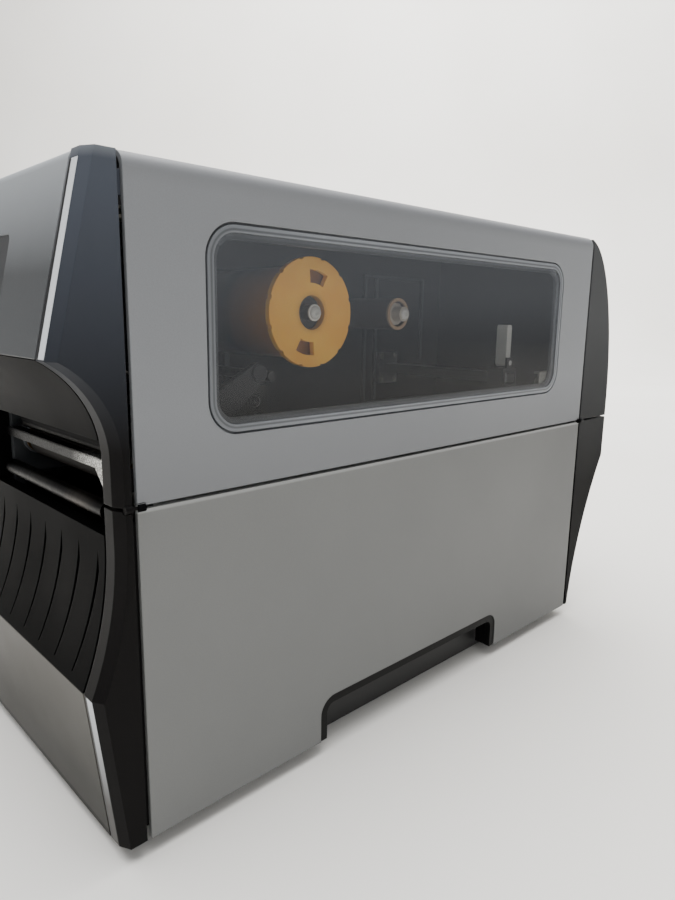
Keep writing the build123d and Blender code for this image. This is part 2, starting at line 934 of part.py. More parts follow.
# Left trims: front and rear, full height, each with a tongue behind the cover
with BuildPart() as left_trims:
    trim_body(left_trim_inner_x, left_bevel_x, left_x, panel_low_z, trim_top_z)
    rear_trim_body(left_trim_inner_x, left_x, panel_low_z, top_z)
    tongue_low_z = pan_left_wall_z + tongue_end_gap
    tongue_top_z = top_z - cover_corner_radius - tongue_end_gap
    for tongue_from, tongue_to in (
        (trim_front_y, panel_front_y + tongue_depth),
        (panel_rear_y - tongue_depth, trim_rear_y),
    ):
        block(
            (cover_inner_x, tongue_from, tongue_low_z), (cover_inner_x + tongue_wall, tongue_to, tongue_top_z)
        )
save(left_trims, "left_trims")

front_left_x = left_trim_inner_x
boss_x = frame_x - frame_flange / 2


def frame_boss(z, setback):
    """Boss on the inside of a front piece that seats on the front flange of the frame."""
    block(
        (boss_x - boss_half, front_at(z) + setback, z - boss_half),
        (boss_x + boss_half, frame_front_y, z + boss_half),
    )


# Plane of the leaning face, at the height of the control panel
face_tilt = atan2(face_lean, top_z - chin_z)
control_z = control_top_z - control_height / 2 * cos(face_tilt)
control_x = (control_left_x + control_right_x) / 2
control_width = control_right_x - control_left_x
face_normal = (0, -cos(face_tilt), sin(face_tilt))
face_plane = Plane(origin=(0, front_at(control_z), control_z), x_dir=(1, 0, 0), z_dir=face_normal)

# Upper front panel: leaning face with a folded top, open for the control plate
with BuildPart() as upper_front_panel:
    panel_foot_z = chin_z + front_join_gap
    with BuildSketch(Plane.YZ.offset(front_left_x)):
        with BuildLine():
            FilletPolyline(
                (front_at(panel_foot_z), panel_foot_z),
                (front_at(top_z), top_z),
                (trim_front_y, top_z),
                radius=face_corner_radius,
            )
            Line((trim_front_y, top_z), (trim_front_y, top_z - shell_wall))
            FilletPolyline(
                (trim_front_y, top_z - shell_wall),
                (front_at(top_z - shell_wall) + shell_wall, top_z - shell_wall),
                (front_at(panel_foot_z) + shell_wall, panel_foot_z),
                radius=face_corner_radius - shell_wall,
            )
            Line((front_at(panel_foot_z) + shell_wall, panel_foot_z), (front_at(panel_foot_z), panel_foot_z))
        make_face()
    extrude(amount=body_x - front_left_x)
    extrude(
        front_block(
            body_x - cheek_wall,
            panel_foot_z,
            top_z - face_corner_radius,
            shell_wall / 2,
            trim_front_y,
        ),
        amount=cheek_wall,
    )
    with BuildSketch(face_plane.offset(-2 * shell_wall)):
        with Locations((control_x, 0)):
            RectangleRounded(control_width, control_height, control_radius)
    extrude(amount=3 * shell_wall, mode=Mode.SUBTRACT)
    frame_boss(top_z - 4 * boss_half, shell_wall / 2)
save(upper_front_panel, "upper_front_panel")

# Control plate: seats in the opening of the leaning face on a wider rear flange
with BuildPart() as control_panel:
    with BuildSketch(face_plane.offset(-control_recess)):
        with Locations((control_x, 0)):
            RectangleRounded(control_width - 2 * touch_gap, control_height - 2 * touch_gap, control_radius)
    extrude(amount=-(shell_wall - control_recess))
    with BuildSketch(face_plane.offset(-shell_wall)):
        with Locations((control_x, 0)):
            RectangleRounded(
                control_width + 2 * plate_flange, control_height + 2 * plate_flange, control_radius
            )
    extrude(amount=-plate_flange_wall)
    with BuildSketch(face_plane):
        with Locations((display_x, 0)):
            RectangleRounded(display_width, display_height, display_radius)
    extrude(amount=-(control_recess + display_wall), mode=Mode.SUBTRACT)
    with BuildSketch(face_plane):
        with Locations(*[(x, round_button_rise) for x in button_x]):
            Circle(round_button_radius + button_gap)
        with Locations(*[(x, -menu_key_drop) for x in button_x]):
            RectangleRounded(
                menu_key_width + 2 * button_gap, menu_key_height + 2 * button_gap, menu_key_radius + button_gap
            )
    extrude(amount=-3 * shell_wall, mode=Mode.SUBTRACT)
save(control_panel, "control_panel")

with BuildPart() as display_window:
    with BuildSketch(face_plane.offset(-control_recess)):
        with Locations((display_x, 0)):
            RectangleRounded(display_width - 2 * touch_gap, display_height - 2 * touch_gap, display_radius)
    extrude(amount=-display_wall)
save(display_window, "display_window")

# Buttons: a cap through the plate and a flange behind it that stops the cap
flange_top = shell_wall + plate_flange_wall + button_gap
for name, x in zip(("pause_button", "feed_button", "cancel_button"), button_x):
    with BuildPart() as round_button:
        with BuildSketch(face_plane.offset(button_proud - control_recess)):
            with Locations((x, round_button_rise)):
                Circle(round_button_radius)
        extrude(amount=-(button_proud - control_recess + flange_top))
        chamfer(round_button.faces().sort_by(Axis.Y)[0].edges(), button_chamfer)
        with BuildSketch(face_plane.offset(-flange_top)):
            with Locations((x, round_button_rise)):
                Circle(round_button_radius + button_flange)
        extrude(amount=-button_flange_wall)
    save(round_button, name)

for name, x in zip(("menu_left_key", "menu_select_key", "menu_right_key"), button_x):
    with BuildPart() as menu_key:
        with BuildSketch(face_plane.offset(button_proud - control_recess)):
            with Locations((x, -menu_key_drop)):
                RectangleRounded(menu_key_width, menu_key_height, menu_key_radius)
        extrude(amount=-(button_proud - control_recess + flange_top))
        chamfer(menu_key.faces().sort_by(Axis.Y)[0].edges(), menu_key_chamfer)
        with BuildSketch(face_plane.offset(-flange_top)):
            with Locations((x, -menu_key_drop)):
                RectangleRounded(
                    menu_key_width + 2 * button_flange,
                    menu_key_height + 2 * button_flange,
                    menu_key_radius + button_flange,
                )
        extrude(amount=-button_flange_wall)
    save(menu_key, name)

# Exit hood: hollow curve under the chin, closed to the left of the exit
with BuildPart() as exit_hood:
    extrude(
        front_band(front_left_x, exit_low_z + front_join_gap, chin_z, 0.0, hood_wall),
        amount=body_x - front_left_x,
    )
    block(
        (exit_left_x, waist_y - hood_wall, exit_low_z),
        (body_x, waist_y + 2 * hood_wall, exit_top_z),
        Mode.SUBTRACT,
    )
    block(
        (exit_left_x - hood_wall, waist_y, exit_low_z + front_join_gap),
        (exit_left_x, frame_front_y - touch_gap, exit_top_z + hood_wall),
    )
    frame_boss(exit_top_z + 3 * boss_half, hood_wall / 2)
save(exit_hood, "exit_hood")

# Apron: hollow shell with tapered slots that lean away from the door
with BuildPart() as front_apron:
    apron_low_z = crease_z
    extrude(front_band(front_left_x, apron_low_z, exit_low_z, 0.0, shell_wall), amount=body_x - front_left_x)
    block(
        (front_left_x, waist_y + shell_wall / 2, exit_low_z - shell_wall),
        (body_x, waist_y + apron_return, exit_low_z),
    )
    with BuildSketch(Plane.XZ.offset(-crease_y)) as slots:
        for index in range(slot_count):
            x = slot_first_x - index * slot_pitch
            with BuildLine():
                Polyline(
                    (x - slot_lean - slot_width_low / 2, slot_low_z),
                    (x - slot_width_top / 2, slot_top_z - slot_tip),
                    (x, slot_top_z),
                    (x + slot_width_top / 2, slot_top_z - slot_tip),
                    (x - slot_lean + slot_width_low / 2, slot_low_z),
                    close=True,
                )
            make_face()
    extrude(amount=-(waist_y - crease_y + shell_wall + touch_gap), mode=Mode.SUBTRACT)
    frame_boss(apron_low_z + 3 * boss_half, shell_wall / 2)
save(front_apron, "front_apron")

with BuildPart() as lower_front_panel:
    skirt_top_z = crease_z - front_join_gap
    extrude(front_band(front_left_x, skirt_z, skirt_top_z, 0.0, shell_wall), amount=body_x - front_left_x)
    extrude(
        front_block(
            body_x - cheek_wall,
            pan_front_wall_z + tongue_end_gap,
            skirt_top_z,
            shell_wall / 2,
            trim_front_y,
        ),
        amount=cheek_wall,
    )
    frame_boss(skirt_top_z - 3 * boss_half, shell_wall / 2)
save(lower_front_panel, "lower_front_panel")

# Rear cover: hollow shell on the rear outline, with a bay over the connectors
with BuildPart() as rear_cover:
    extrude(
        rear_block(left_trim_inner_x, panel_low_z, top_z, 0.0, trim_rear_y),
        amount=body_x - left_trim_inner_x,
    )
    extrude(
        rear_block(left_trim_inner_x + shell_wall, panel_low_z, top_z, shell_wall, trim_rear_y),
        amount=body_x - left_trim_inner_x - 2 * shell_wall,
        mode=Mode.SUBTRACT,
    )
    for cheek_x in (bay_left - shell_wall, bay_right):
        extrude(
            rear_block(cheek_x, panel_low_z, taper_top_z + shell_wall, 0.0, trim_rear_y),
            amount=shell_wall,
        )
    block(
        (bay_left - shell_wall, trim_rear_y, taper_top_z),
        (bay_right + shell_wall, rear_y - shell_wall / 2, taper_top_z + shell_wall),
    )
    block((bay_left, trim_rear_y, panel_low_z), (bay_right, rear_y, taper_top_z), Mode.SUBTRACT)
    with BuildSketch(Plane.XZ.offset(-rear_y)):
        with Locations((rear_vent_x, (taper_top_z + crown_base_z) / 2)):
            with GridLocations(rear_vent_pitch, 0, rear_vent_count, 1):
                SlotOverall(rear_vent_length, rear_vent_width, rotation=90)
    extrude(amount=shell_wall, mode=Mode.SUBTRACT)
save(rear_cover, "rear_cover")

# Upper door panel: bent cover with the window opening and a lip along the seam
with BuildPart() as upper_door_panel:
    door_edge_x = hinge_x + door_edge_offset
    extrude(
        corner_section(door_edge_x, side_x, upper_low_z, panel_wall, panel_corner_radius), amount=cover_length
    )
    seam_lip_front_y = panel_front_y + seam_lip_inset
    seam_lip_rear_y = panel_rear_y - seam_lip_inset
    block(
        (side_x - seam_lip_depth, seam_lip_front_y, upper_low_z),
        (side_x - panel_wall / 2, seam_lip_rear_y, upper_low_z + seam_lip_wall),
    )
    extrude(window_outline(side_x - 2 * panel_wall, 0.0), amount=3 * panel_wall, mode=Mode.SUBTRACT)
    relief_radius = fold_lug_radius + fold_relief
    for lug_from, lug_to in (
        (panel_front_y, panel_front_y + fold_lug_length + fold_relief),
        (panel_rear_y - fold_lug_length - fold_relief, panel_rear_y),
    ):
        rod_y(lug_from, lug_to, side_x, seam_z, relief_radius, Mode.SUBTRACT)
save(upper_door_panel, "upper_door_panel")

# Window bezel: flush ring on a rear flange, with a seat for the pane
with BuildPart() as window_bezel:
    bezel_inner = bezel_gap + bezel_width
    pane_edge = bezel_inner - pane_seat_width
    extrude(
        window_outline(side_x - panel_wall - bezel_flange_wall, -bezel_flange), amount=bezel_flange_wall
    )
    extrude(window_outline(side_x - panel_wall, bezel_gap), amount=panel_wall - touch_gap)
    extrude(
        window_outline(side_x - panel_wall - bezel_flange_wall, bezel_inner),
        amount=panel_wall + bezel_flange_wall,
        mode=Mode.SUBTRACT,
    )
    pane_outer_x = side_x - pane_seat_depth + pane_wall / 2
    extrude(window_outline(pane_outer_x - pane_wall, pane_edge), amount=2 * pane_wall, mode=Mode.SUBTRACT)
save(window_bezel, "window_bezel")

with BuildPart() as window_pane:
    extrude(window_outline(pane_outer_x - pane_wall, pane_edge + touch_gap), amount=pane_wall)
save(window_pane, "window_pane")


def door_tongue(from_y, to_y, low_z, high_z):
    """Tongue of a door trim that lies behind the side panel."""
    block((side_x - panel_wall - tongue_wall, from_y, low_z), (side_x - panel_wall, to_y, high_z))


strip_low_z = chin_z + strip_chin_gap
strip_top_z = trim_top_z - strip_top_gap
lower_strip_top_z = crease_z - strip_chin_gap
pocket_back_y = trim_front_y - trim_wall
front_tongue = (trim_front_y - trim_wall, panel_front_y + tongue_depth)
rear_tongue = (panel_rear_y - tongue_depth, trim_rear_y + trim_wall)
upper_tongue_z = (upper_low_z + tongue_end_gap, window_low_z - bezel_flange - tongue_end_gap)
top_tongue_z = (window_top_z + bezel_flange + top_tongue_gap, top_z - cover_corner_radius - top_tongue_gap)
lower_tongue_z = (panel_low_z + tongue_end_gap, lower_top_z - tongue_end_gap)

# Front trims of the door: bevelled, pocketed behind, with a seat for the grey strip
with BuildPart() as upper_front_trim:
    trim_body(trim_inner_x, bevel_x, side_x, upper_low_z, trim_top_z)
    extrude(
        front_band(trim_inner_x, strip_low_z, strip_top_z, 0.0, strip_depth),
        amount=bevel_x - trim_inner_x,
        mode=Mode.SUBTRACT,
    )
    extrude(
        front_block(
            trim_inner_x,
            upper_pocket_z,
            trim_top_z - 2 * trim_wall,
            trim_pocket_front,
            pocket_back_y,
        ),
        amount=trim_depth_x - trim_wall,
        mode=Mode.SUBTRACT,
    )
    door_tongue(*front_tongue, *upper_tongue_z)
    door_tongue(*front_tongue, *top_tongue_z)
    rod_y(trim_front_y - fold_lug_length, trim_front_y, side_x, seam_z, fold_lug_radius)
    rod_y(
        trim_front_y - 2 * fold_lug_length, trim_front_y,
        side_x, seam_z, fold_pin_radius + pin_clearance, Mode.SUBTRACT,
    )
save(upper_front_trim, "upper_front_trim")

with BuildPart() as upper_front_strip:
    extrude(
        front_band(trim_inner_x, strip_low_z, strip_top_z, 0.0, strip_depth),
        amount=bevel_x - trim_inner_x,
    )
save(upper_front_strip, "upper_front_strip")

with BuildPart() as lower_front_trim:
    trim_body(trim_inner_x, bevel_x, side_x, panel_low_z, lower_top_z)
    extrude(
        front_band(trim_inner_x, panel_low_z, lower_strip_top_z, 0.0, strip_depth),
        amount=bevel_x - trim_inner_x,
        mode=Mode.SUBTRACT,
    )
    extrude(
        front_block(trim_inner_x, panel_low_z + trim_wall, lower_pocket_z, trim_pocket_front, pocket_back_y),
        amount=trim_depth_x - trim_wall,
        mode=Mode.SUBTRACT,
    )
    door_tongue(*front_tongue, *lower_tongue_z)
    rod_y(
        trim_front_y - fold_lug_length - fold_relief,
        trim_front_y,
        side_x,
        seam_z,
        relief_radius,
        Mode.SUBTRACT,
    )
save(lower_front_trim, "lower_front_trim")

with BuildPart() as lower_front_strip:
    extrude(
        front_band(trim_inner_x, panel_low_z, lower_strip_top_z, 0.0, strip_depth), amount=bevel_x - trim_inner_x
    )
save(lower_front_strip, "lower_front_strip")

with BuildPart() as upper_rear_trim:
    rear_trim_body(trim_inner_x, side_x, upper_low_z, top_z)
    extrude(
        rear_block(trim_inner_x, upper_low_z + trim_wall, top_z, trim_wall, trim_rear_y + trim_wall),
        amount=trim_depth_x - trim_wall,
        mode=Mode.SUBTRACT,
    )
    door_tongue(*rear_tongue, *upper_tongue_z)
    door_tongue(*rear_tongue, *top_tongue_z)
    rod_y(trim_rear_y, trim_rear_y + fold_lug_length, side_x, seam_z, fold_lug_radius)
    rod_y(
        trim_rear_y, trim_rear_y + 2 * fold_lug_length,
        side_x, seam_z, fold_pin_radius + pin_clearance, Mode.SUBTRACT,
    )
save(upper_rear_trim, "upper_rear_trim")

with BuildPart() as lower_rear_trim:
    rear_trim_body(trim_inner_x, side_x, panel_low_z, lower_top_z)
    extrude(
        rear_block(trim_inner_x, taper_top_z, lower_top_z - trim_wall, trim_wall, trim_rear_y + trim_wall),
        amount=trim_depth_x - trim_wall,
        mode=Mode.SUBTRACT,
    )
    door_tongue(panel_rear_y - tongue_depth, trim_rear_y + tongue_root, *lower_tongue_z)
    rod_y(
        trim_rear_y,
        trim_rear_y + fold_lug_length + fold_relief,
        side_x,
        seam_z,
        relief_radius,
        Mode.SUBTRACT,
    )
save(lower_rear_trim, "lower_rear_trim")

# Lower door panel: flat panel with the grip cut-out, a lip along the seam and the lower fold lugs
with BuildPart() as lower_door_panel:
    block((side_x - panel_wall, panel_front_y, panel_low_z), (side_x, panel_rear_y, lower_top_z))
    block(
        (side_x - seam_lip_depth, seam_lip_front_y, lower_top_z - seam_lip_wall),
        (side_x - panel_wall / 2, seam_lip_rear_y, lower_top_z),
    )
    extrude(grip_outline(side_x - 2 * panel_wall, 0.0, 0.0), amount=3 * panel_wall, mode=Mode.SUBTRACT)
    for lug_from in (panel_front_y, panel_rear_y - fold_lug_length):
        rod_y(lug_from, lug_from + fold_lug_length, side_x, seam_z, fold_lug_radius)
        rod_y(
            lug_from,
            lug_from + fold_lug_length,
            side_x,
            seam_z,
            fold_pin_radius + pin_clearance,
            Mode.SUBTRACT,
        )
save(lower_door_panel, "lower_door_panel")

# Grip liner: face lip, rear flange and a roof that reaches inwards
with BuildPart() as grip_liner:
    liner_low_z = panel_low_z
    extrude(
        grip_outline(side_x - panel_wall - bezel_flange_wall, -liner_flange, liner_low_z), amount=bezel_flange_wall
    )
    extrude(grip_outline(side_x - panel_wall, 0.0, liner_low_z), amount=panel_wall - grip_lip_recess)
    extrude(
        grip_outline(trim_inner_x + touch_gap, grip_roof_inset, liner_low_z),
        amount=trim_depth_x - panel_wall - touch_gap,
    )
    extrude(
        grip_outline(side_x - 2 * panel_wall, grip_lip, liner_low_z - touch_gap),
        amount=3 * panel_wall,
        mode=Mode.SUBTRACT,
    )
    extrude(
        grip_outline(trim_inner_x, grip_roof_inset + grip_roof_wall, liner_low_z - touch_gap),
        amount=trim_depth_x - 2 * panel_wall,
        mode=Mode.SUBTRACT,
    )
save(grip_liner, "grip_liner")

with BuildPart() as fold_hinge_pins:
    for pin_from, pin_to in (
        (trim_front_y - fold_lug_length, panel_front_y + fold_lug_length),
        (panel_rear_y - fold_lug_length, trim_rear_y + fold_lug_length),
    ):
        rod_y(pin_from, pin_to, side_x, seam_z, fold_pin_radius)
save(fold_hinge_pins, "fold_hinge_pins")

# Door hinge: two leaves with knuckles in turn, the pin fixed in the leaf on the body
knuckle_pitch = (hinge_rear_y - hinge_front_y) / hinge_knuckles
leaf_root = hinge_barrel_radius + hinge_swing_gap


def hinge_leaf(first, way, leaf_z, reach):
    """Leaf on one side of the pin, with every second knuckle."""
    plate_x = sorted((hinge_x + way * leaf_root, hinge_x + way * reach))
    block((plate_x[0], hinge_front_y, leaf_z), (plate_x[1], hinge_rear_y, leaf_z + hinge_leaf_wall))
    for index in range(first, hinge_knuckles, 2):
        knuckle_from = hinge_front_y + index * knuckle_pitch + hinge_knuckle_gap / 2
        knuckle_to = knuckle_from + knuckle_pitch - hinge_knuckle_gap
        rod_y(knuckle_from, knuckle_to, hinge_x, hinge_z, hinge_barrel_radius)
        tab_x = sorted((hinge_x, hinge_x + way * (leaf_root + hinge_leaf_wall)))
        block((tab_x[0], knuckle_from, leaf_z), (tab_x[1], knuckle_to, leaf_z + hinge_leaf_wall))


with BuildPart() as hinge_fixed_leaf:
    hinge_leaf(0, -1, frame_top_z, hinge_leaf_reach)
    rod_y(hinge_front_y, hinge_rear_y, hinge_x, hinge_z, hinge_pin_radius)
save(hinge_fixed_leaf, "hinge_fixed_leaf")

with BuildPart() as hinge_moving_leaf:
    hinge_leaf(1, 1, top_z - panel_wall - hinge_leaf_wall, moving_leaf_reach)
    rod_y(hinge_front_y, hinge_rear_y, hinge_x, hinge_z, hinge_pin_radius + pin_clearance, Mode.SUBTRACT)
save(hinge_moving_leaf, "hinge_moving_leaf")

# Door catch: bent bracket on the inside of the upper door, with a latch tongue
with BuildPart() as door_catch:
    catch_x = side_x - panel_wall - tongue_wall
    catch_low_z = upper_low_z + seam_lip_wall
    catch_rear_y = catch_y + catch_width
    block((catch_x - catch_wall, catch_y, catch_low_z), (side_x - panel_wall, catch_rear_y, catch_foot_z))
    block((catch_x - catch_wall, catch_y, catch_low_z), (catch_x, catch_rear_y, catch_top_z))
    block((catch_x - catch_reach, catch_y, catch_top_z - catch_wall), (catch_x, catch_rear_y, catch_top_z))
    rod_x(
        catch_x - catch_wall,
        catch_x,
        (catch_y + catch_rear_y) / 2,
        catch_eye_z,
        catch_eye_radius,
        Mode.SUBTRACT,
    )
save(door_catch, "door_catch")

# Tear bar: folded sheet across the exit, with a triangular gusset at the door end
with BuildPart() as tear_bar:
    tear_rear_y = tear_bar_front_y + tear_bar_depth
    block((media_x, tear_bar_front_y, tear_bar_z - tear_bar_wall), (side_plate_x, tear_rear_y, tear_bar_z))
    block(
        (media_x, tear_bar_front_y, tear_bar_z - tear_bar_lip),
        (side_plate_x, tear_bar_front_y + tear_bar_wall, tear_bar_z),
    )
    with BuildSketch(Plane.XZ.offset(-tear_bar_front_y)):
        with BuildLine():
            Polyline(
                (side_plate_x, tear_bar_z - tear_bar_lip),
                (side_plate_x, tear_bar_z - gusset_drop),
                (side_plate_x - gusset_reach, tear_bar_z - tear_bar_lip),
                close=True,
            )
        make_face()
    extrude(amount=-tear_bar_wall)
save(tear_bar, "tear_bar")

with BuildPart() as exit_guide_bar:
    rod_x(media_x, side_plate_x, guide_bar_y, guide_bar_z, guide_bar_radius)
save(exit_guide_bar, "exit_guide_bar")

# Braces of the mechanism: channel under the media path, head pivot rod and two ribbon guide rods
with BuildPart() as mechanism_braces:
    block((media_x, bed_front_y, bed_top_z - bed_wall), (side_plate_x, bed_rear_y, bed_top_z))
    for flange_y in (bed_front_y, bed_rear_y - bed_wall):
        block((media_x, flange_y, bed_low_z), (side_plate_x, flange_y + bed_wall, bed_top_z))
    rod_x(media_x, side_plate_x + side_plate_wall, head_pivot_y, head_pivot_z, head_pivot_radius)
    for rod_place_y, rod_place_z in ribbon_rods:
        rod_x(media_x, platen_right_x, rod_place_y, rod_place_z, head_pivot_radius)
save(mechanism_braces, "mechanism_braces")

# Side plate of the mechanism, with bores for the platen, the head pivot and the lever shaft
with BuildPart() as mechanism_side_plate:
    with BuildSketch(Plane.YZ.offset(side_plate_x)):
        with BuildLine():
            Polyline(
                (side_plate_front_y, pan_top_z),
                (side_plate_front_y, tear_bar_z + plate_nose_rise),
                (platen_y + plate_nose_reach, side_plate_top_z),
                (side_plate_rear_y, side_plate_top_z),
                (side_plate_rear_y, head_pivot_z - 2 * head_ear_radius),
                (bed_rear_y, bed_low_z),
                (bed_rear_y, pan_top_z),
                close=True,
            )
        make_face()
    extrude(amount=side_plate_wall)
    block(
        (side_plate_x - side_plate_foot, side_plate_front_y, pan_top_z),
        (side_plate_x, bed_rear_y, pan_top_z + side_plate_wall),
    )
    for bore_y, bore_z, bore in (
        (platen_y, platen_z, bearing_radius),
        (head_pivot_y, head_pivot_z, head_pivot_radius),
        (lever_y, lever_z, shaft_radius),
    ):
        rod_x(
            side_plate_x,
            side_plate_x + side_plate_wall,
            bore_y,
            bore_z,
            bore + pin_clearance,
            Mode.SUBTRACT,
        )
save(mechanism_side_plate, "mechanism_side_plate")

# Flanged bushes of the platen, the ribbon take-up and the ribbon supply
with BuildPart() as shaft_bearings:
    for y, z in bearing_places:
        rod_x(frame_x, boss_face_x, y, z, bearing_radius)
        rod_x(boss_face_x, boss_face_x + bearing_flange_wall, y, z, bearing_flange_radius)
        rod_x(frame_x, boss_face_x + bearing_flange_wall, y, z, shaft_radius + pin_clearance, Mode.SUBTRACT)
    rod_x(side_plate_x, side_plate_x + side_plate_wall, platen_y, platen_z, bearing_radius)
    rod_x(side_plate_x - bearing_flange_wall, side_plate_x, platen_y, platen_z, bearing_flange_radius)
    rod_x(
        side_plate_x - bearing_flange_wall,
        side_plate_x + side_plate_wall,
        platen_y,
        platen_z,
        shaft_radius + pin_clearance,
        Mode.SUBTRACT,
    )
save(shaft_bearings, "shaft_bearings")

# Print head: finned carrier on the pivot rod, and the head plate under it
head_low_z = platen_z + platen_radius + head_gap
carrier_low_z = head_low_z + head_wall
carrier_top_z = carrier_low_z + carrier_wall
with BuildPart() as printhead_carrier:
    block((carrier_left_x, carrier_front_y, carrier_low_z), (platen_right_x, carrier_rear_y, carrier_top_z))
    for index in range(carrier_fin_count):
        fin_y = carrier_front_y + fin_first + fin_pitch * index
        block(
            (carrier_left_x, fin_y, carrier_top_z),
            (platen_right_x, fin_y + fin_wall, carrier_top_z + fin_height),
        )
    for ear_x in (carrier_left_x, platen_right_x - head_ear_wall):
        rod_x(ear_x, ear_x + head_ear_wall, head_pivot_y, head_pivot_z, head_ear_radius)
        block(
            (ear_x, carrier_rear_y, carrier_low_z + head_ear_step),
            (ear_x + head_ear_wall, head_pivot_y, carrier_top_z),
        )
        rod_x(
            ear_x,
            ear_x + head_ear_wall,
            head_pivot_y,
            head_pivot_z,
            head_pivot_radius + pin_clearance,
            Mode.SUBTRACT,
        )
save(printhead_carrier, "printhead_carrier")

with BuildPart() as thermal_printhead:
    block((platen_left_x, carrier_front_y, head_low_z), (platen_right_x, head_rear_y, carrier_low_z))
    chamfer(thermal_printhead.edges().filter_by(Axis.X).group_by(Axis.Z)[0].sort_by(Axis.Y)[0], head_chamfer)
save(thermal_printhead, "thermal_printhead")

# Head lever: shaft with two cams over the carrier, and the handle on its door end
with BuildPart() as head_lever:
    rod_x(frame_x, handle_x, lever_y, lever_z, shaft_radius)
    for x in cam_x:
        rod_x(x - cam_width / 2, x + cam_width / 2, lever_y, lever_z - cam_throw, cam_radius)
save(head_lever, "head_lever")

with BuildPart() as lever_handle:
    handle_tip_y = lever_y + lever_arm * cos(radians(lever_angle))
    handle_tip_z = lever_z + lever_arm * sin(radians(lever_angle))
    with BuildSketch(Plane.YZ.offset(handle_x)):
        with Locations((lever_y, lever_z)):
            Circle(shaft_radius + lever_wall)
        with Locations((handle_tip_y, handle_tip_z)):
            Circle(lever_knob_radius + knob_rim)
        make_hull()
    extrude(amount=lever_wall)
    rod_x(
        handle_x + lever_wall,
        handle_x + lever_wall + knob_proud,
        handle_tip_y,
        handle_tip_z,
        lever_knob_radius,
    )
save(lever_handle, "lever_handle")

# Platen roller on its shaft, and the pulley on the far end
with BuildPart() as platen_roller:
    rod_x(platen_left_x, platen_right_x, platen_y, platen_z, platen_radius)
    rod_x(shaft_left_x, side_plate_x + side_plate_wall + platen_shaft_proud, platen_y, platen_z, shaft_radius)
save(platen_roller, "platen_roller")


def pulley(x_from, x_to, y, z, radius):
    """Pulley with a rim at both ends."""
    rod_x(x_from, x_to, y, z, radius)
    for rim_x in (x_from, x_to - pulley_rim_width):
        rod_x(rim_x, rim_x + pulley_rim_width, y, z, radius + pulley_rim)


with BuildPart() as platen_pulley:
    pulley(
        platen_belt_x - pulley_side_gap,
        platen_belt_x + belt_width + pulley_side_gap,
        platen_y,
        platen_z,
        platen_pulley_radius,
    )
    rod_x(
        shaft_left_x,
        platen_belt_x + belt_width + pulley_side_gap,
        platen_y,
        platen_z,
        shaft_radius + pin_clearance,
        Mode.SUBTRACT,
    )
save(platen_pulley, "platen_pulley")

# Drive motor behind the frame, on a bracket plate with four posts
with BuildPart() as drive_motor:
    with BuildSketch(Plane.YZ.offset(motor_face_x)):
        with Locations((motor_y, motor_z)):
            Rectangle(motor_side, motor_side)
        chamfer(vertices(), motor_chamfer)
    extrude(amount=-motor_length)
    block(
        (motor_face_x, motor_y - motor_plate_half, motor_z - motor_plate_low),
        (motor_face_x + side_plate_wall, motor_y + motor_plate_half, motor_z + motor_plate_high),
    )
    for post_y in (motor_y - post_reach, motor_y + post_reach):
        for post_z in (motor_z - post_low, motor_z + post_high):
            rod_x(motor_face_x + side_plate_wall, frame_x, post_y, post_z, post_radius)
    rod_x(
        motor_face_x - motor_bore_depth,
        motor_face_x + side_plate_wall,
        motor_y,
        motor_z,
        motor_shaft_radius + pin_clearance,
        Mode.SUBTRACT,
    )
save(drive_motor, "drive_motor")

with BuildPart() as motor_pulley:
    rod_x(
        motor_face_x - motor_bore_depth,
        platen_belt_x + belt_width + pulley_side_gap,
        motor_y,
        motor_z,
        motor_shaft_radius,
    )
    pulley(
        takeup_belt_x - pulley_side_gap,
        takeup_belt_x + belt_width + pulley_side_gap,
        motor_y,
        motor_z,
        motor_pulley_radius,
    )
    pulley(
        platen_belt_x - pulley_side_gap,
        platen_belt_x + belt_width + pulley_side_gap,
        motor_y,
        motor_z,
        motor_pulley_radius,
    )
save(motor_pulley, "motor_pulley")


def belt_outline(x, place, radius, grow):
    """Outline round the motor pulley and another pulley."""
    with BuildSketch(Plane.YZ.offset(x)) as outline:
        with Locations((motor_y, motor_z)):
            Circle(motor_pulley_radius + grow)
        with Locations(place):
            Circle(radius + grow)
        make_hull()
    return outline.sketch


with BuildPart() as drive_belts:
    for belt_x, place, radius in (
        (platen_belt_x, (platen_y, platen_z), platen_pulley_radius),
        (takeup_belt_x, (takeup_y, takeup_z), takeup_pulley_radius),
    ):
        extrude(belt_outline(belt_x, place, radius, belt_gap + belt_wall), amount=belt_width)
        extrude(belt_outline(belt_x, place, radius, belt_gap), amount=belt_width, mode=Mode.SUBTRACT)
save(drive_belts, "drive_belts")

# Ribbon take-up: shaft with its pulley and the wound drum, and the notched end disc
with BuildPart() as takeup_spindle:
    rod_x(takeup_belt_x - 2 * pulley_side_gap, takeup_drum_x, takeup_y, takeup_z, shaft_radius)
    pulley(
        takeup_belt_x - pulley_side_gap,
        takeup_belt_x + belt_width + pulley_side_gap,
        takeup_y,
        takeup_z,
        takeup_pulley_radius,
    )
    rod_x(takeup_drum_x, drum_end_x, takeup_y, takeup_z, takeup_drum_radius)
    hub_end_x = takeup_flange_x + takeup_flange_wall - takeup_hub_recess
    rod_x(drum_end_x, hub_end_x, takeup_y, takeup_z, takeup_hole_radius - pin_clearance)
    rod_x(drum_end_x, spindle_end_x, takeup_y, takeup_z, spindle_tip_radius)
save(takeup_spindle, "takeup_spindle")

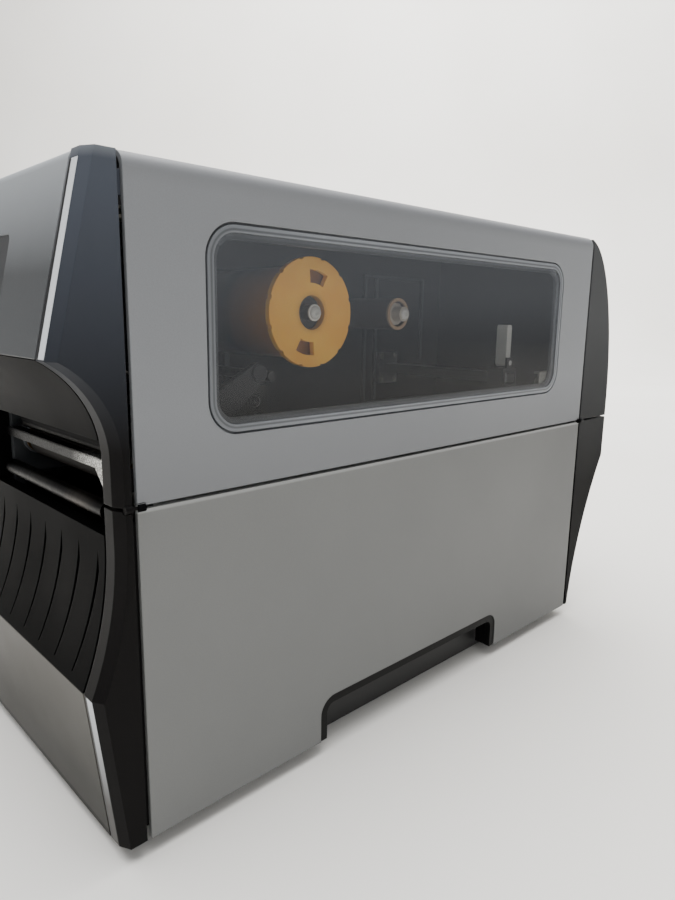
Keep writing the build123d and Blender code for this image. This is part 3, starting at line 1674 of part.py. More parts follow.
with BuildPart() as takeup_flange:
    rod_x(takeup_flange_x, takeup_flange_x + takeup_flange_wall, takeup_y, takeup_z, takeup_flange_radius)
    rod_x(drum_end_x, takeup_flange_x, takeup_y, takeup_z, takeup_hole_radius + takeup_hub_wall)
    rod_x(
        drum_end_x,
        takeup_flange_x + takeup_flange_wall,
        takeup_y,
        takeup_z,
        takeup_hole_radius,
        Mode.SUBTRACT,
    )
    with BuildSketch(Plane.YZ.offset(takeup_flange_x)):
        with Locations((takeup_y, takeup_z)):
            with PolarLocations(takeup_flange_radius, takeup_notches, start_angle=takeup_notch_start):
                Rectangle(2 * takeup_notch_depth, takeup_notch_width)
    extrude(amount=takeup_flange_wall, mode=Mode.SUBTRACT)
    for middle in (takeup_slot_middle, takeup_slot_middle + 180):
        slot = ring_sector(
            takeup_flange_x,
            (takeup_y, takeup_z),
            takeup_slot_radius - takeup_slot_width / 2,
            takeup_slot_radius + takeup_slot_width / 2,
            middle - takeup_slot_swing / 2,
            middle + takeup_slot_swing / 2,
        )
        extrude(slot, amount=takeup_flange_wall, mode=Mode.SUBTRACT)
save(takeup_flange, "takeup_flange")

# Ribbon supply: spindle with three ribs, and the core that it holds
with BuildPart() as supply_spindle:
    rod_x(frame_x - supply_tail, supply_core_x, supply_y, supply_z, shaft_radius)
    rod_x(frame_x - supply_tail, frame_x - supply_collar_gap, supply_y, supply_z, 3 * shaft_radius)
    rod_x(supply_core_x, drum_end_x, supply_y, supply_z, supply_core_radius - supply_rib_height)
    rod_x(drum_end_x, spindle_end_x - supply_tip_gap, supply_y, supply_z, spindle_tip_radius)
    for turn in range(3):
        with Locations(Location((drum_end_x / 2, supply_y, supply_z), (120.0 * turn, 0, 0))):
            Box(drum_end_x - supply_rib_end, supply_rib_width, 2 * (supply_core_radius - supply_rib_gap))
save(supply_spindle, "supply_spindle")

with BuildPart() as supply_core:
    rod_x(
        supply_core_x + supply_core_inset,
        drum_end_x + supply_core_proud,
        supply_y,
        supply_z,
        supply_ring_radius,
    )
    rod_x(
        supply_core_x + supply_core_inset,
        drum_end_x + supply_core_proud,
        supply_y,
        supply_z,
        supply_core_radius,
        Mode.SUBTRACT,
    )
save(supply_core, "supply_core")

# Media hanger with a sliding roll guide and its swinging arm
with BuildPart() as media_hanger:
    hanger_low = (media_x, hanger_y - hanger_width / 2, hanger_z - hanger_height / 2)
    hanger_top = (hanger_end_x, hanger_y + hanger_width / 2, hanger_z + hanger_height / 2)
    block(hanger_low, hanger_top)
    block(
        (media_x, hanger_low[1] - hanger_foot_y, hanger_low[2] - hanger_foot_z),
        (media_x + hanger_foot_wall, hanger_top[1] + hanger_foot_y, hanger_top[2] + hanger_foot_z),
    )
    chamfer(media_hanger.faces().sort_by(Axis.X)[-1].edges(), hanger_chamfer)
save(media_hanger, "media_hanger")

with BuildPart() as media_guide_slider:
    sleeve_grow = slider_gap + slider_wall
    block(
        (slider_x, hanger_low[1] - sleeve_grow, hanger_low[2] - sleeve_grow),
        (slider_x + slider_length, hanger_top[1] + sleeve_grow, hanger_top[2] + sleeve_grow),
    )
    block(
        (slider_x, hanger_low[1] - slider_gap, hanger_low[2] - slider_gap),
        (slider_x + slider_length, hanger_top[1] + slider_gap, hanger_top[2] + slider_gap),
        Mode.SUBTRACT,
    )
    for ear_x in (slider_x, slider_x + slider_length - slider_ear):
        block(
            (ear_x, hanger_y - slider_ear_half, hanger_top[2] + slider_gap + slider_ear_sink),
            (ear_x + slider_ear, hanger_y + slider_ear_half, guide_pivot_z + slider_ear_half),
        )
    rod_x(
        slider_x,
        slider_x + slider_length,
        hanger_y,
        guide_pivot_z,
        guide_pivot_radius + pin_clearance,
        Mode.SUBTRACT,
    )
save(media_guide_slider, "media_guide_slider")

with BuildPart() as media_guide_arm:
    arm_left_x = slider_x + slider_ear + slider_gap
    arm_right_x = slider_x + slider_length - slider_ear - slider_gap
    block(
        (arm_left_x, hanger_y - guide_arm_width / 2, guide_pivot_z),
        (arm_right_x, hanger_y + guide_arm_width / 2, guide_arm_top_z),
    )
    fillet(media_guide_arm.edges().filter_by(Axis.X).group_by(Axis.Z)[-1], guide_arm_round)
    rod_x(arm_left_x, arm_right_x, hanger_y, guide_pivot_z, guide_arm_width / 2)
    rod_x(slider_x, slider_x + slider_length, hanger_y, guide_pivot_z, guide_pivot_radius)
save(media_guide_arm, "media_guide_arm")

# Dancer: sprung arm with a roller that takes up the slack of the media
with BuildPart() as dancer_arm:
    dancer_tip_y = dancer_y + dancer_arm_length * cos(radians(dancer_angle))
    dancer_tip_z = dancer_z + dancer_arm_length * sin(radians(dancer_angle))
    dancer_x = media_x + rib_proud + dancer_gap
    with BuildSketch(Plane.YZ.offset(dancer_x)):
        with Locations((dancer_y, dancer_z), (dancer_tip_y, dancer_tip_z)):
            Circle(dancer_roller_radius + dancer_rim)
        make_hull()
    extrude(amount=dancer_arm_wall)
    rod_x(frame_x, dancer_x, dancer_y, dancer_z, shaft_radius)
    rod_x(dancer_x + dancer_arm_wall, drum_end_x, dancer_tip_y, dancer_tip_z, dancer_roller_radius)
save(dancer_arm, "dancer_arm")

# Media sensor: forked block that the label web runs through
with BuildPart() as media_sensor:
    sensor_rear_y = sensor_y + sensor_depth / 2
    block(
        (media_x, sensor_y - sensor_depth / 2, sensor_z - sensor_half),
        (sensor_end_x, sensor_rear_y, sensor_z + sensor_half),
    )
    block(
        (media_x + sensor_root, sensor_y - sensor_depth / 2, sensor_z - sensor_slot_half),
        (sensor_end_x, sensor_rear_y, sensor_z + sensor_slot_half),
        Mode.SUBTRACT,
    )
save(media_sensor, "media_sensor")

# Main board on standoffs behind the frame
with BuildPart() as main_board:
    board_x = frame_x - board_standoff
    block((board_x - board_wall, board_front_y, board_low_z), (board_x, board_rear_y, board_top_z))
    for y in (board_front_y + standoff_inset, board_rear_y - standoff_inset):
        for z in (board_low_z + standoff_inset, board_top_z - standoff_inset):
            rod_x(board_x, frame_x, y, z, standoff_radius)
    for across, up, length, height, proud in board_items:
        item_y = board_front_y + across
        item_z = board_low_z + up
        block(
            (board_x - board_wall - proud, item_y, item_z),
            (board_x - board_wall, item_y + length, item_z + height),
        )
save(main_board, "main_board")

# Power supply: vented metal box on the base
with BuildPart() as power_supply:
    supply_left_x = cover_inner_x + pan_wall + supply_left_gap
    supply_width, supply_length, supply_height = supply_box
    supply_front_y = frame_rear_y - supply_length - supply_rear_gap
    block(
        (supply_left_x, supply_front_y, pan_top_z),
        (supply_left_x + supply_width, supply_front_y + supply_length, pan_top_z + supply_height),
    )
    with BuildSketch(Plane.XY.offset(pan_top_z + supply_height)):
        with Locations((supply_left_x + supply_width / 2, supply_front_y + supply_length / 2)):
            with GridLocations(0, supply_vent_pitch, 1, supply_vent_count):
                SlotOverall(supply_width - supply_vent_margin, supply_vent_width)
    extrude(amount=-supply_vent_depth, mode=Mode.SUBTRACT)
save(power_supply, "power_supply")

# Rear connectors: flanged inlet and switch housings, and three port shells
with BuildPart() as rear_connectors:
    for index, (cut_x, cut_z, cut_width, cut_height) in enumerate(rear_cuts):
        grow = connector_flange + (rim_width if index < 2 else 0.0)
        half_width = cut_width / 2 - touch_gap
        half_height = cut_height / 2 - touch_gap
        connector_front_y = pan_rear_y - connector_depth
        connector_rear_y = pan_rear_y + connector_proud
        block(
            (cut_x - half_width, connector_front_y, cut_z - half_height),
            (cut_x + half_width, connector_rear_y, cut_z + half_height),
        )
        block(
            (cut_x - cut_width / 2 - grow, pan_rear_y, cut_z - cut_height / 2 - grow),
            (cut_x + cut_width / 2 + grow, connector_rear_y, cut_z + cut_height / 2 + grow),
        )
        half_width -= connector_wall
        half_height -= connector_wall
        block(
            (cut_x - half_width, connector_front_y + connector_back_wall, cut_z - half_height),
            (cut_x + half_width, connector_rear_y, cut_z + half_height),
            Mode.SUBTRACT,
        )
    for pin_x, pin_z in inlet_pins:
        block(
            (
                inlet_x + pin_x - inlet_pin_half_width,
                pan_rear_y - connector_depth,
                inlet_z + pin_z - inlet_pin_half_height,
            ),
            (
                inlet_x + pin_x + inlet_pin_half_width,
                pan_rear_y - inlet_pin_end_depth,
                inlet_z + pin_z + inlet_pin_half_height,
            ),
        )
save(rear_connectors, "rear_connectors")

with BuildPart() as power_rocker:
    rocker_half_width = rocker_width / 2 - touch_gap - connector_wall - rocker_side_gap
    with BuildSketch(Plane.YZ.offset(rocker_x - rocker_half_width)):
        with BuildLine():
            Polyline(
                (rocker_pivot_y - rocker_depth, inlet_z - rocker_half + rocker_slope),
                (rocker_pivot_y + rocker_proud, inlet_z - rocker_half),
                (rocker_pivot_y + rocker_middle, inlet_z),
                (rocker_pivot_y + rocker_proud, inlet_z + rocker_half),
                (rocker_pivot_y - rocker_depth, inlet_z + rocker_half - rocker_slope),
                close=True,
            )
        make_face()
    extrude(amount=2 * rocker_half_width)
save(power_rocker, "power_rocker")
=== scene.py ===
import json

import bmesh
import bpy
import numpy as np
from mathutils import Matrix, Vector


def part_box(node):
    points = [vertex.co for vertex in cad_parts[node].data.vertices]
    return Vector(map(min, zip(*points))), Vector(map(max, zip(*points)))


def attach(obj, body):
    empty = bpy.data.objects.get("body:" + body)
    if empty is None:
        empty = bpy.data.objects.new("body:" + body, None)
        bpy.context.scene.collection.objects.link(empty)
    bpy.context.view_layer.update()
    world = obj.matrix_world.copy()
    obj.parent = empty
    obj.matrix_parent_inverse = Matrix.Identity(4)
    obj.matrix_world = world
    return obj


bl_info = {
    "name": "Label Printer",
    "version": (1, 0, 0),
    "blender": (4, 5, 0),
    "location": "3D View > Sidebar > Label Printer",
    "description": "Finishes and details of an industrial label printer with a folding side door",
    "category": "Object",
}

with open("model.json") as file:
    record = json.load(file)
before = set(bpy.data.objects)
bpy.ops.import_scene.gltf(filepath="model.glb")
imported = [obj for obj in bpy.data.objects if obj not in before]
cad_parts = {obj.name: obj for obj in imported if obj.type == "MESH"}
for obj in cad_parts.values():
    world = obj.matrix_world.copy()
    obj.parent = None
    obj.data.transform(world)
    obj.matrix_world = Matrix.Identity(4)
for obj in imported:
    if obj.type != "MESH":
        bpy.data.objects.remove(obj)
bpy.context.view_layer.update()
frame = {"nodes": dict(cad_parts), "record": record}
NODES = frame["nodes"]

# Places of the solids that the finishes and the small pieces line up with, in metres
PLATEN_AXIS = (-0.1955, 0.1845)
TAKEUP_AXIS = (-0.0880, 0.2610)
SUPPLY_AXIS = (-0.0106, 0.2612)
FOLD_AXIS = (0.1327, 0.1754)
BEZEL_CORNER = 0.021
BEZEL_EDGE = 0.0052
BEZEL_WIDTH = 0.0065
RIB_TOP_X = -0.0182
CORE_END_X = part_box("supply_core")[1][0]
STRIP_INNER_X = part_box("upper_front_strip")[0][0]
STRIP_GROOVE = 0.002
SEAM_LINE = 0.0009
SEAM_KNUCKLE = 0.0022
PLATEN_SHAFT = 0.0043
TAKEUP_SHAFT = 0.0042
TAKEUP_END_X = 0.104
TAKEUP_TIP_X = 0.1112
TAKEUP_HUB_X = 0.0015
TAKEUP_PULLEY_X = -0.040
TAKEUP_TIP = 0.0047
BOARD_FACE_X = -0.0358

# Grain and rounded edges of moulded plastic
GRAIN_SCALE = 1100.0
GRAIN_DEPTH = 0.00004
MOULD_EDGE = 0.0007

# Screws: their places on each plate, the heads of the two spindle screws and a head's height by its radius
PLATE_SCREWS = ((-0.202, 0.018), (-0.139, 0.018), (-0.202, 0.150), (-0.128, 0.214))
HANGER_SCREWS = ((0.108, 0.2035), (0.108, 0.2245), (0.126, 0.2035), (0.126, 0.2245))
HANGER_FOOT = 0.004
MOTOR_SCREW_X = -0.057
MOTOR_SCREWS = ((-0.1735, 0.0965), (-0.1265, 0.0965))
REAR_SCREWS = (
    (-0.109, 0.022), (-0.109, 0.078), (-0.109, 0.130), (-0.039, 0.022), (-0.039, 0.078), (-0.039, 0.130)
)
TAKEUP_SCREW = 0.0038
SUPPLY_SCREW = 0.0034
SCREW_CROWN = 0.45

# A pole's ring of points is this small until the points closer than the gap become one
POLE_RADIUS = 0.000001
POLE_GAP = 0.00001

# Latch wire: half its width and height, how square its corners are (0 is square, 1 is round), and its place
LATCH_HALF_Y = 0.0062
LATCH_HALF_Z = 0.0045
LATCH_CORNER = 0.35
LATCH_INSET = 0.0005
LATCH_DROP = 0.010

# Tear bar teeth: height, thickness, depth of their foot in the bar and setback from its face
TOOTH_RISE = 0.0009
TOOTH_WALL = 0.0004
TOOTH_FOOT = 0.0003
TOOTH_SETBACK = 0.0001

# Stage: floor paper, lights (name, place, aim, size, watts) and the camera of the photograph
FLOOR_FRONT = -6.0
FLOOR_BACK = 2.6
FLOOR_BEND = 1.2
FLOOR_HEADING = 46.0
FLOOR_HALF_WIDTH = 7.0
WALL_TOP = 5.0
LIGHTS = (
    ("overhead", (-0.15, -0.25, 2.6), (0.0, 0.0, 0.0), 2.6, 160.0),
    ("door side", (2.0, -1.0, 1.2), (0.1, -0.1, 0.2), 1.4, 14.0),
    ("wall left", (-1.6, 1.2, 3.2), (-2.7, 2.6, 1.2), 2.2, 170.0),
    ("wall right", (0.2, 2.6, 3.2), (-1.3, 4.0, 1.2), 2.2, 170.0),
)
CAMERA_PLACE = (0.3986, -0.3454, 0.2596)
CAMERA_TURN = (46.03, 11.25, 0.855)
CAMERA_REACH = 675.6
PICTURE_HEIGHT = 900
SENSOR = 36.0


# ---------------------------------------------------------------- shader maths


class Wire:
    """Output socket of a shader node that takes part in sums."""

    def __init__(self, shader, socket):
        self.shader = shader
        self.socket = socket

    def math(self, operation, *others):
        """Math node of one operation with this wire as its first value."""
        values = dict(enumerate((self,) + others))
        return self.shader.node("ShaderNodeMath", {"operation": operation}, values)

    def __add__(self, other):
        return self.math("ADD", other)

    __radd__ = __add__

    def __mul__(self, other):
        return self.math("MULTIPLY", other)

    __rmul__ = __mul__

    def __sub__(self, other):
        return self.math("SUBTRACT", other)

    def __rsub__(self, other):
        return self.shader.node("ShaderNodeMath", {"operation": "SUBTRACT"}, {0: other, 1: self})

    def __pow__(self, other):
        return self.math("POWER", other)

    def above(self, limit, soft=0.0002):
        """Mask that rises from 0 to 1 across a limit."""
        return self.shader.node(
            "ShaderNodeMapRange",
            {"clamp": True},
            {"Value": self, "From Min": limit - soft, "From Max": limit + soft, "To Min": 0.0, "To Max": 1.0},
        )

    def spread(self, low, high, to_low, to_high):
        """Straight map from one range to another, held at its ends."""
        return self.shader.node(
            "ShaderNodeMapRange",
            {"clamp": True},
            {"Value": self, "From Min": low, "From Max": high, "To Min": to_low, "To Max": to_high},
        )


class Finish:
    """Material whose nodes are made one by one."""

    def __init__(self, name):
        self.material = bpy.data.materials.new(name)
        self.material.use_nodes = True
        self.tree = self.material.node_tree
        self.tree.nodes.clear()
        self.output = self.tree.nodes.new("ShaderNodeOutputMaterial")
        self.place = self.node("ShaderNodeTexCoord", {}, {}, "Object")

    def node(self, kind, settings, sockets, output=0):
        """Adds a node: settings first, then a value or a wire for each socket."""
        node = self.tree.nodes.new(kind)
        for name, value in settings.items():
            if name == "stops":
                self.set_stops(node.color_ramp, value)
            else:
                setattr(node, name, value)
        for key, value in sockets.items():
            if isinstance(value, Wire):
                self.tree.links.new(value.socket, node.inputs[key])
            else:
                node.inputs[key].default_value = value
        return Wire(self, node.outputs[output])

    @staticmethod
    def set_stops(ramp, stops):
        """Places the stops of a colour ramp."""
        while len(ramp.elements) < len(stops):
            ramp.elements.new(0.5)
        for element, (position, colour) in zip(ramp.elements, stops):
            element.position = position
            element.color = colour

    def axis(self, index):
        """One coordinate of the object."""
        return self.node("ShaderNodeSeparateXYZ", {}, {0: self.place}, index)

    def stretched(self, scale):
        """Object coordinates stretched by a factor along each axis."""
        return self.node("ShaderNodeMapping", {}, {"Vector": self.place, "Scale": scale})

    def noise(self, scale, detail=2.0, roughness=0.5, place=None):
        """Noise value around one half."""
        sockets = {"Vector": place or self.place, "Scale": scale, "Detail": detail, "Roughness": roughness}
        return self.node("ShaderNodeTexNoise", {}, sockets)

    def cells(self, scale):
        """Distance to the nearest cell point."""
        sockets = {"Vector": self.place, "Scale": scale}
        return self.node("ShaderNodeTexVoronoi", {"feature": "F1"}, sockets, "Distance")

    def spark_grain(self, colour):
        """Grain of a spark-eroded mould, and the colour that it gives."""
        grain = self.noise(GRAIN_SCALE, 3.0, 0.65)
        return grain, self.blend(grain.spread(0.35, 0.65, 0.0, 1.0), shade(colour, 0.93), shade(colour, 1.08))

    def reach(self, first, first_place, second, second_place):
        """Distance from a line that crosses two axes at the given places."""
        across = self.axis(first) - first_place
        upward = self.axis(second) - second_place
        return (across * across + upward * upward) ** 0.5

    def radius(self, axis_place):
        """Distance from a line along X."""
        return self.reach(1, axis_place[0], 2, axis_place[1])

    def depth_in_frame(self, low, high, corner):
        """Depth inside a rounded window in the YZ plane, which is corner - |max(q, 0)| - min(max(q), 0).

        Here q is the distance past the window's middle along Y and Z, less half its size without the corners.
        """
        sides = []
        for index in (1, 2):
            middle = (low[index] + high[index]) / 2
            half = (high[index] - low[index]) / 2 - corner
            sides.append((self.axis(index) - middle).math("ABSOLUTE") - half)
        across, upward = sides
        beyond = (across.math("MAXIMUM", 0.0) ** 2 + upward.math("MAXIMUM", 0.0) ** 2) ** 0.5
        return corner - beyond - across.math("MAXIMUM", upward).math("MINIMUM", 0.0)

    def blend(self, factor, first, second):
        """Colour between two colours."""
        return self.node(
            "ShaderNodeMix",
            {"data_type": "RGBA"},
            {"Factor": factor, 6: first, 7: second},
            2,
        )

    def mottle(self, noise, first, second):
        """Colour that wavers from one to another over the middle of a noise."""
        return self.blend(noise.spread(0.3, 0.7, 0.0, 1.0), first, second)

    def faded(self, tone, fades):
        """Colour that turns into others along an axis: each fade is (axis, start, end, colour)."""
        for index, start, end, colour in fades:
            tone = self.blend(self.axis(index).spread(start, end, 0.0, 1.0), tone, colour)
        return tone

    def bump(self, height, depth, strength=1.0, under=None):
        """Normal bent by a height, with the depth in metres."""
        sockets = {"Strength": strength, "Distance": depth, "Height": height}
        if under is not None:
            sockets["Normal"] = under
        return self.node("ShaderNodeBump", {}, sockets)

    def soft_edges(self, radius):
        """Normal rounded at edges."""
        return self.node("ShaderNodeBevel", {"samples": 6}, {"Radius": radius})

    def shader(self, sockets):
        """Principled shader with the given sockets."""
        named = {name.replace("_", " "): value for name, value in sockets.items()}
        return self.node("ShaderNodeBsdfPrincipled", {}, named)

    def surface(self, **sockets):
        """Principled shader joined to the output."""
        self.tree.links.new(self.shader(sockets).socket, self.output.inputs["Surface"])
        return self.material

    def covered_surface(self, cover, cover_colour, **sockets):
        """Principled shader under a dull dark layer that shows where the cover is 1."""
        dull = self.shader({"Base Color": cover_colour, "Roughness": 0.9, "Specular IOR Level": 0.0})
        mixed = self.node("ShaderNodeMixShader", {}, {0: cover, 1: self.shader(sockets), 2: dull})
        self.tree.links.new(mixed.socket, self.output.inputs["Surface"])
        return self.material


def shade(colour, factor):
    """Colour made lighter or darker by a factor."""
    return tuple(min(1.0, part * factor) for part in colour[:3]) + (1.0,)


def linear(red, green, blue):
    """Linear colour of an 8 bit colour."""
    parts = []
    for part in (red, green, blue):
        value = part / 255
        parts.append(value / 12.92 if value <= 0.04045 else ((value + 0.055) / 1.055) ** 2.4)
    return tuple(parts) + (1.0,)


# ---------------------------------------------------------------- finishes


def sheet_paint(name, colour, fine=0.06, level=0.4, fades=(), seam=False):
    """Powder paint on sheet steel: orange peel, specks, a cloudy drift, and where asked dark knuckles and a
    dark line along the seam that is painted shade in its gap.
    """
    finish = Finish(name)
    grain = finish.noise(1500.0, 3.0, 0.7)
    specks = finish.cells(900.0)
    cloud = finish.noise(7.0, 4.0, 0.6)
    tone = finish.mottle(grain, shade(colour, 1 - fine), shade(colour, 1 + fine))
    tone = finish.blend(specks.spread(0.05, 0.22, 0.35, 0.0), tone, shade(colour, 0.72))
    tone = finish.blend(cloud.spread(0.35, 0.7, 0.0, 0.25), tone, shade(colour, 0.9))
    tone = finish.faded(tone, fades)
    height = grain * 0.6 + finish.noise(420.0, 2.0, 0.5)
    normal = finish.bump(height, 0.00006, 0.6, finish.soft_edges(0.0006))
    paint = {
        "Base_Color": tone,
        "Roughness": cloud.spread(0.3, 0.7, 0.46, 0.58),
        "Normal": normal,
        "Specular_IOR_Level": level,
    }
    if not seam:
        return finish.surface(**paint)
    reach = finish.reach(0, FOLD_AXIS[0], 2, FOLD_AXIS[1])
    knuckle = finish.axis(0).above(FOLD_AXIS[0] + 0.0003, 0.0001) * (1 - reach.above(SEAM_KNUCKLE))
    # Painted shade: a thin dark line round the fold axis, where the seam's gap falls in shade
    line = 1 - reach.above(SEAM_LINE)
    return finish.covered_surface(knuckle.math("MAXIMUM", line), linear(12, 12, 13), **paint)


def moulded(name, colour, rough=0.42, level=0.45, fades=()):
    """Moulded plastic: fine spark grain, slight change of gloss and of tone."""
    finish = Finish(name)
    grain, tone = finish.spark_grain(colour)
    drift = finish.noise(11.0, 3.0, 0.55)
    tone = finish.blend(drift.spread(0.35, 0.7, 0.0, 0.3), tone, shade(colour, 1.15))
    tone = finish.faded(tone, fades)
    normal = finish.bump(grain, GRAIN_DEPTH, 0.7, finish.soft_edges(MOULD_EDGE))
    gloss = drift.spread(0.3, 0.7, rough - 0.05, rough + 0.06)
    return finish.surface(Base_Color=tone, Roughness=gloss, Normal=normal, Specular_IOR_Level=level)


def strip_finish(name, colour):
    """Moulded strip: pale face, painted shade in the groove along its inner edge, and painted shade towards
    the floor.
    """
    finish = Finish(name)
    grain, tone = finish.spark_grain(colour)
    # Painted shade: darker towards the floor
    dull = finish.axis(2).spread(0.03, 0.088, 1.0, 0.0)
    tone = finish.blend(dull, tone, linear(50, 48, 46))
    # Painted shade in the groove along the strip's inner edge
    groove = 1 - finish.axis(0).above(STRIP_INNER_X + STRIP_GROOVE, 0.0003)
    tone = finish.blend(groove, tone, linear(14, 14, 15))
    normal = finish.bump(grain, GRAIN_DEPTH, 0.7, finish.soft_edges(MOULD_EDGE))
    return finish.surface(Base_Color=tone, Roughness=0.4, Normal=normal, Specular_IOR_Level=0.25)


def bezel_finish(name, colour):
    """Moulded window frame: a pale lip of painted highlight, a dark step of painted shade and a plain band,
    one inside the other, with painted shade towards the front.
    """
    finish = Finish(name)
    grain = finish.noise(GRAIN_SCALE, 3.0, 0.65)
    depth = finish.depth_in_frame(*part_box("window_bezel"), BEZEL_CORNER)
    # Rings of painted highlight and painted shade across the frame's width
    band = finish.node(
        "ShaderNodeValToRGB",
        {"stops": [
            (0.0, shade(colour, 1.35)), (0.2, shade(colour, 1.35)), (0.27, shade(colour, 0.42)),
            (0.36, shade(colour, 0.5)), (0.43, shade(colour, 1.35)), (0.7, shade(colour, 1.2)),
            (0.8, shade(colour, 0.7)), (1.0, shade(colour, 0.5)),
        ]},
        {"Fac": depth.spread(BEZEL_EDGE, BEZEL_EDGE + BEZEL_WIDTH, 0.0, 1.0)},
    )
    tone = finish.blend(grain.spread(0.35, 0.65, 0.0, 0.2), band, colour)
    # Painted shade: darker towards the front
    tone = finish.blend(finish.axis(1).spread(-0.1, -0.17, 0.0, 0.5), tone, shade(colour, 0.4))
    normal = finish.bump(grain, GRAIN_DEPTH, 0.6, finish.soft_edges(MOULD_EDGE))
    return finish.surface(Base_Color=tone, Roughness=0.4, Normal=normal, Specular_IOR_Level=0.3)


def brushed(name, colour, stretch=(12.0, 900.0, 900.0), rough=0.34, metal=1.0, fades=(), level=0.5):
    """Rolled or brushed metal: long fine scratches along one way, faint stains."""
    finish = Finish(name)
    lines = finish.noise(1.0, 4.0, 0.7, finish.stretched(stretch))
    stain = finish.noise(35.0, 3.0, 0.6)
    tone = finish.mottle(lines, shade(colour, 0.82), shade(colour, 1.12))
    tone = finish.blend(stain.spread(0.45, 0.75, 0.0, 0.35), tone, shade(colour, 0.75))
    tone = finish.faded(tone, fades)
    normal = finish.bump(lines, 0.00003, 0.5, finish.soft_edges(0.0004))
    gloss = lines.spread(0.3, 0.7, rough - 0.07, rough + 0.1)
    return finish.surface(
        Base_Color=tone, Roughness=gloss, Metallic=metal, Normal=normal, Specular_IOR_Level=level
    )


def turned(name, colour, rough=0.22, fades=()):
    """Ground or turned round metal: fine rings across the X axis."""
    return brushed(name, colour, (1600.0, 30.0, 30.0), rough, fades=fades)


def cast_paint(name, colour):
    """Painted casting: smooth skin, slightly uneven tone and gloss, and a painted highlight on the tops of
    its ribs.
    """
    finish = Finish(name)
    skin = finish.noise(260.0, 3.0, 0.5)
    drift = finish.noise(9.0, 3.0, 0.5)
    tone = finish.mottle(skin, shade(colour, 0.94), shade(colour, 1.06))
    tone = finish.blend(drift.spread(0.4, 0.7, 0.0, 0.3), tone, shade(colour, 0.85))
    # Painted highlight on the tops of the ribs
    tone = finish.blend(finish.axis(0).above(RIB_TOP_X), tone, shade(colour, 2.6))
    normal = finish.bump(skin, 0.00001, 0.2, finish.soft_edges(0.0009))
    gloss = drift.spread(0.3, 0.7, 0.55, 0.65)
    return finish.surface(Base_Color=tone, Roughness=gloss, Normal=normal, Specular_IOR_Level=0.2)


def rubbery(name, colour, rough=0.72):
    """Rubber: fine matte skin with dusty patches."""
    finish = Finish(name)
    skin = finish.noise(900.0, 3.0, 0.6)
    dust = finish.noise(40.0, 4.0, 0.65)
    tone = finish.blend(dust.spread(0.5, 0.8, 0.0, 0.5), shade(colour, 1.0), shade(colour, 1.9))
    normal = finish.bump(skin, 0.00005, 0.6, finish.soft_edges(0.0005))
    gloss = dust.spread(0.3, 0.7, rough - 0.06, rough + 0.08)
    return finish.surface(Base_Color=tone, Roughness=gloss, Normal=normal)


def clear_pane(name):
    """Smoked clear plastic: a tinted outer face with a faint haze, and a clear inner face."""
    finish = Finish(name)
    haze = finish.noise(14.0, 3.0, 0.6)
    tone = finish.blend(haze.spread(0.35, 0.7, 0.0, 1.0), linear(34, 34, 34), linear(40, 40, 40))
    # Painted reflection: the pane turns paler towards its top
    tone = finish.faded(tone, [(2, 0.205, 0.275, linear(94, 97, 102))])
    low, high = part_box("window_pane")
    outer = finish.axis(0).above((low[0] + high[0]) / 2)
    alpha = outer * haze.spread(0.3, 0.7, 0.4, 0.44)
    return finish.surface(Base_Color=tone, Roughness=0.08, Alpha=alpha, Specular_IOR_Level=0.4)


def display_face(name):
    """Dark display glass: an unlit grid of dots under a glossy face."""
    finish = Finish(name)
    dots = finish.cells(700.0)
    tone = finish.blend(dots.spread(0.2, 0.5, 0.0, 1.0), linear(42, 52, 48), linear(30, 38, 36))
    return finish.surface(Base_Color=tone, Roughness=0.12, Coat_Weight=0.6, Normal=finish.soft_edges(0.0004))


def platen_finish(name):
    """Platen roller: ground rubber over a steel shaft."""
    finish = Finish(name)
    rubber = finish.radius(PLATEN_AXIS).above(PLATEN_SHAFT)
    rings = finish.noise(1.0, 2.0, 0.6, finish.stretched((1800.0, 40.0, 40.0)))
    steel = finish.mottle(rings, linear(150, 150, 148), linear(205, 205, 200))
    black = finish.mottle(rings, linear(24, 22, 21), linear(34, 32, 30))
    tone = finish.blend(rubber, steel, black)
    normal = finish.bump(rings, 0.00003, 0.5)
    return finish.surface(
        Base_Color=tone, Metallic=1 - rubber, Roughness=rubber.spread(0.0, 1.0, 0.25, 0.62), Normal=normal,
        Specular_IOR_Level=0.1,
    )


def drum_finish(name):
    """Wound ribbon: thin turns round the drum, a pale hub and steel ends."""
    finish = Finish(name)
    radius = finish.radius(TAKEUP_AXIS)
    along = finish.axis(0)
    turns = finish.noise(1.0, 2.0, 0.7, finish.stretched((700.0, 6.0, 6.0)))
    film = finish.mottle(turns, linear(52, 38, 30), linear(78, 58, 44))
    # Painted shade: the turns are amber at the disc's end and dark brown further in
    film = finish.faded(film, [(0, 0.06, TAKEUP_END_X, linear(196, 132, 48))])
    hub = finish.mottle(turns, linear(46, 43, 38), linear(58, 54, 48))
    pale = finish.mottle(turns, linear(226, 225, 218), linear(238, 237, 230))
    steel = finish.mottle(turns, linear(150, 150, 146), linear(200, 198, 190))
    is_end = along.above(TAKEUP_END_X)
    is_tip = along.above(TAKEUP_TIP_X) * (1 - radius.above(TAKEUP_TIP))
    is_pulley = 1 - along.above(TAKEUP_PULLEY_X)
    is_shaft = (1 - radius.above(TAKEUP_SHAFT)) * (1 - along.above(TAKEUP_HUB_X))
    tone = finish.blend(is_end, film, hub)
    tone = finish.blend(is_tip, tone, pale)
    tone = finish.blend(is_pulley, tone, linear(214, 212, 204))
    tone = finish.blend(is_shaft, tone, steel)
    normal = finish.bump(turns, 0.00004, 0.5, finish.soft_edges(0.0005))
    gloss = turns.spread(0.3, 0.7, 0.3, 0.46)
    return finish.surface(Base_Color=tone, Metallic=is_shaft, Roughness=gloss, Normal=normal)


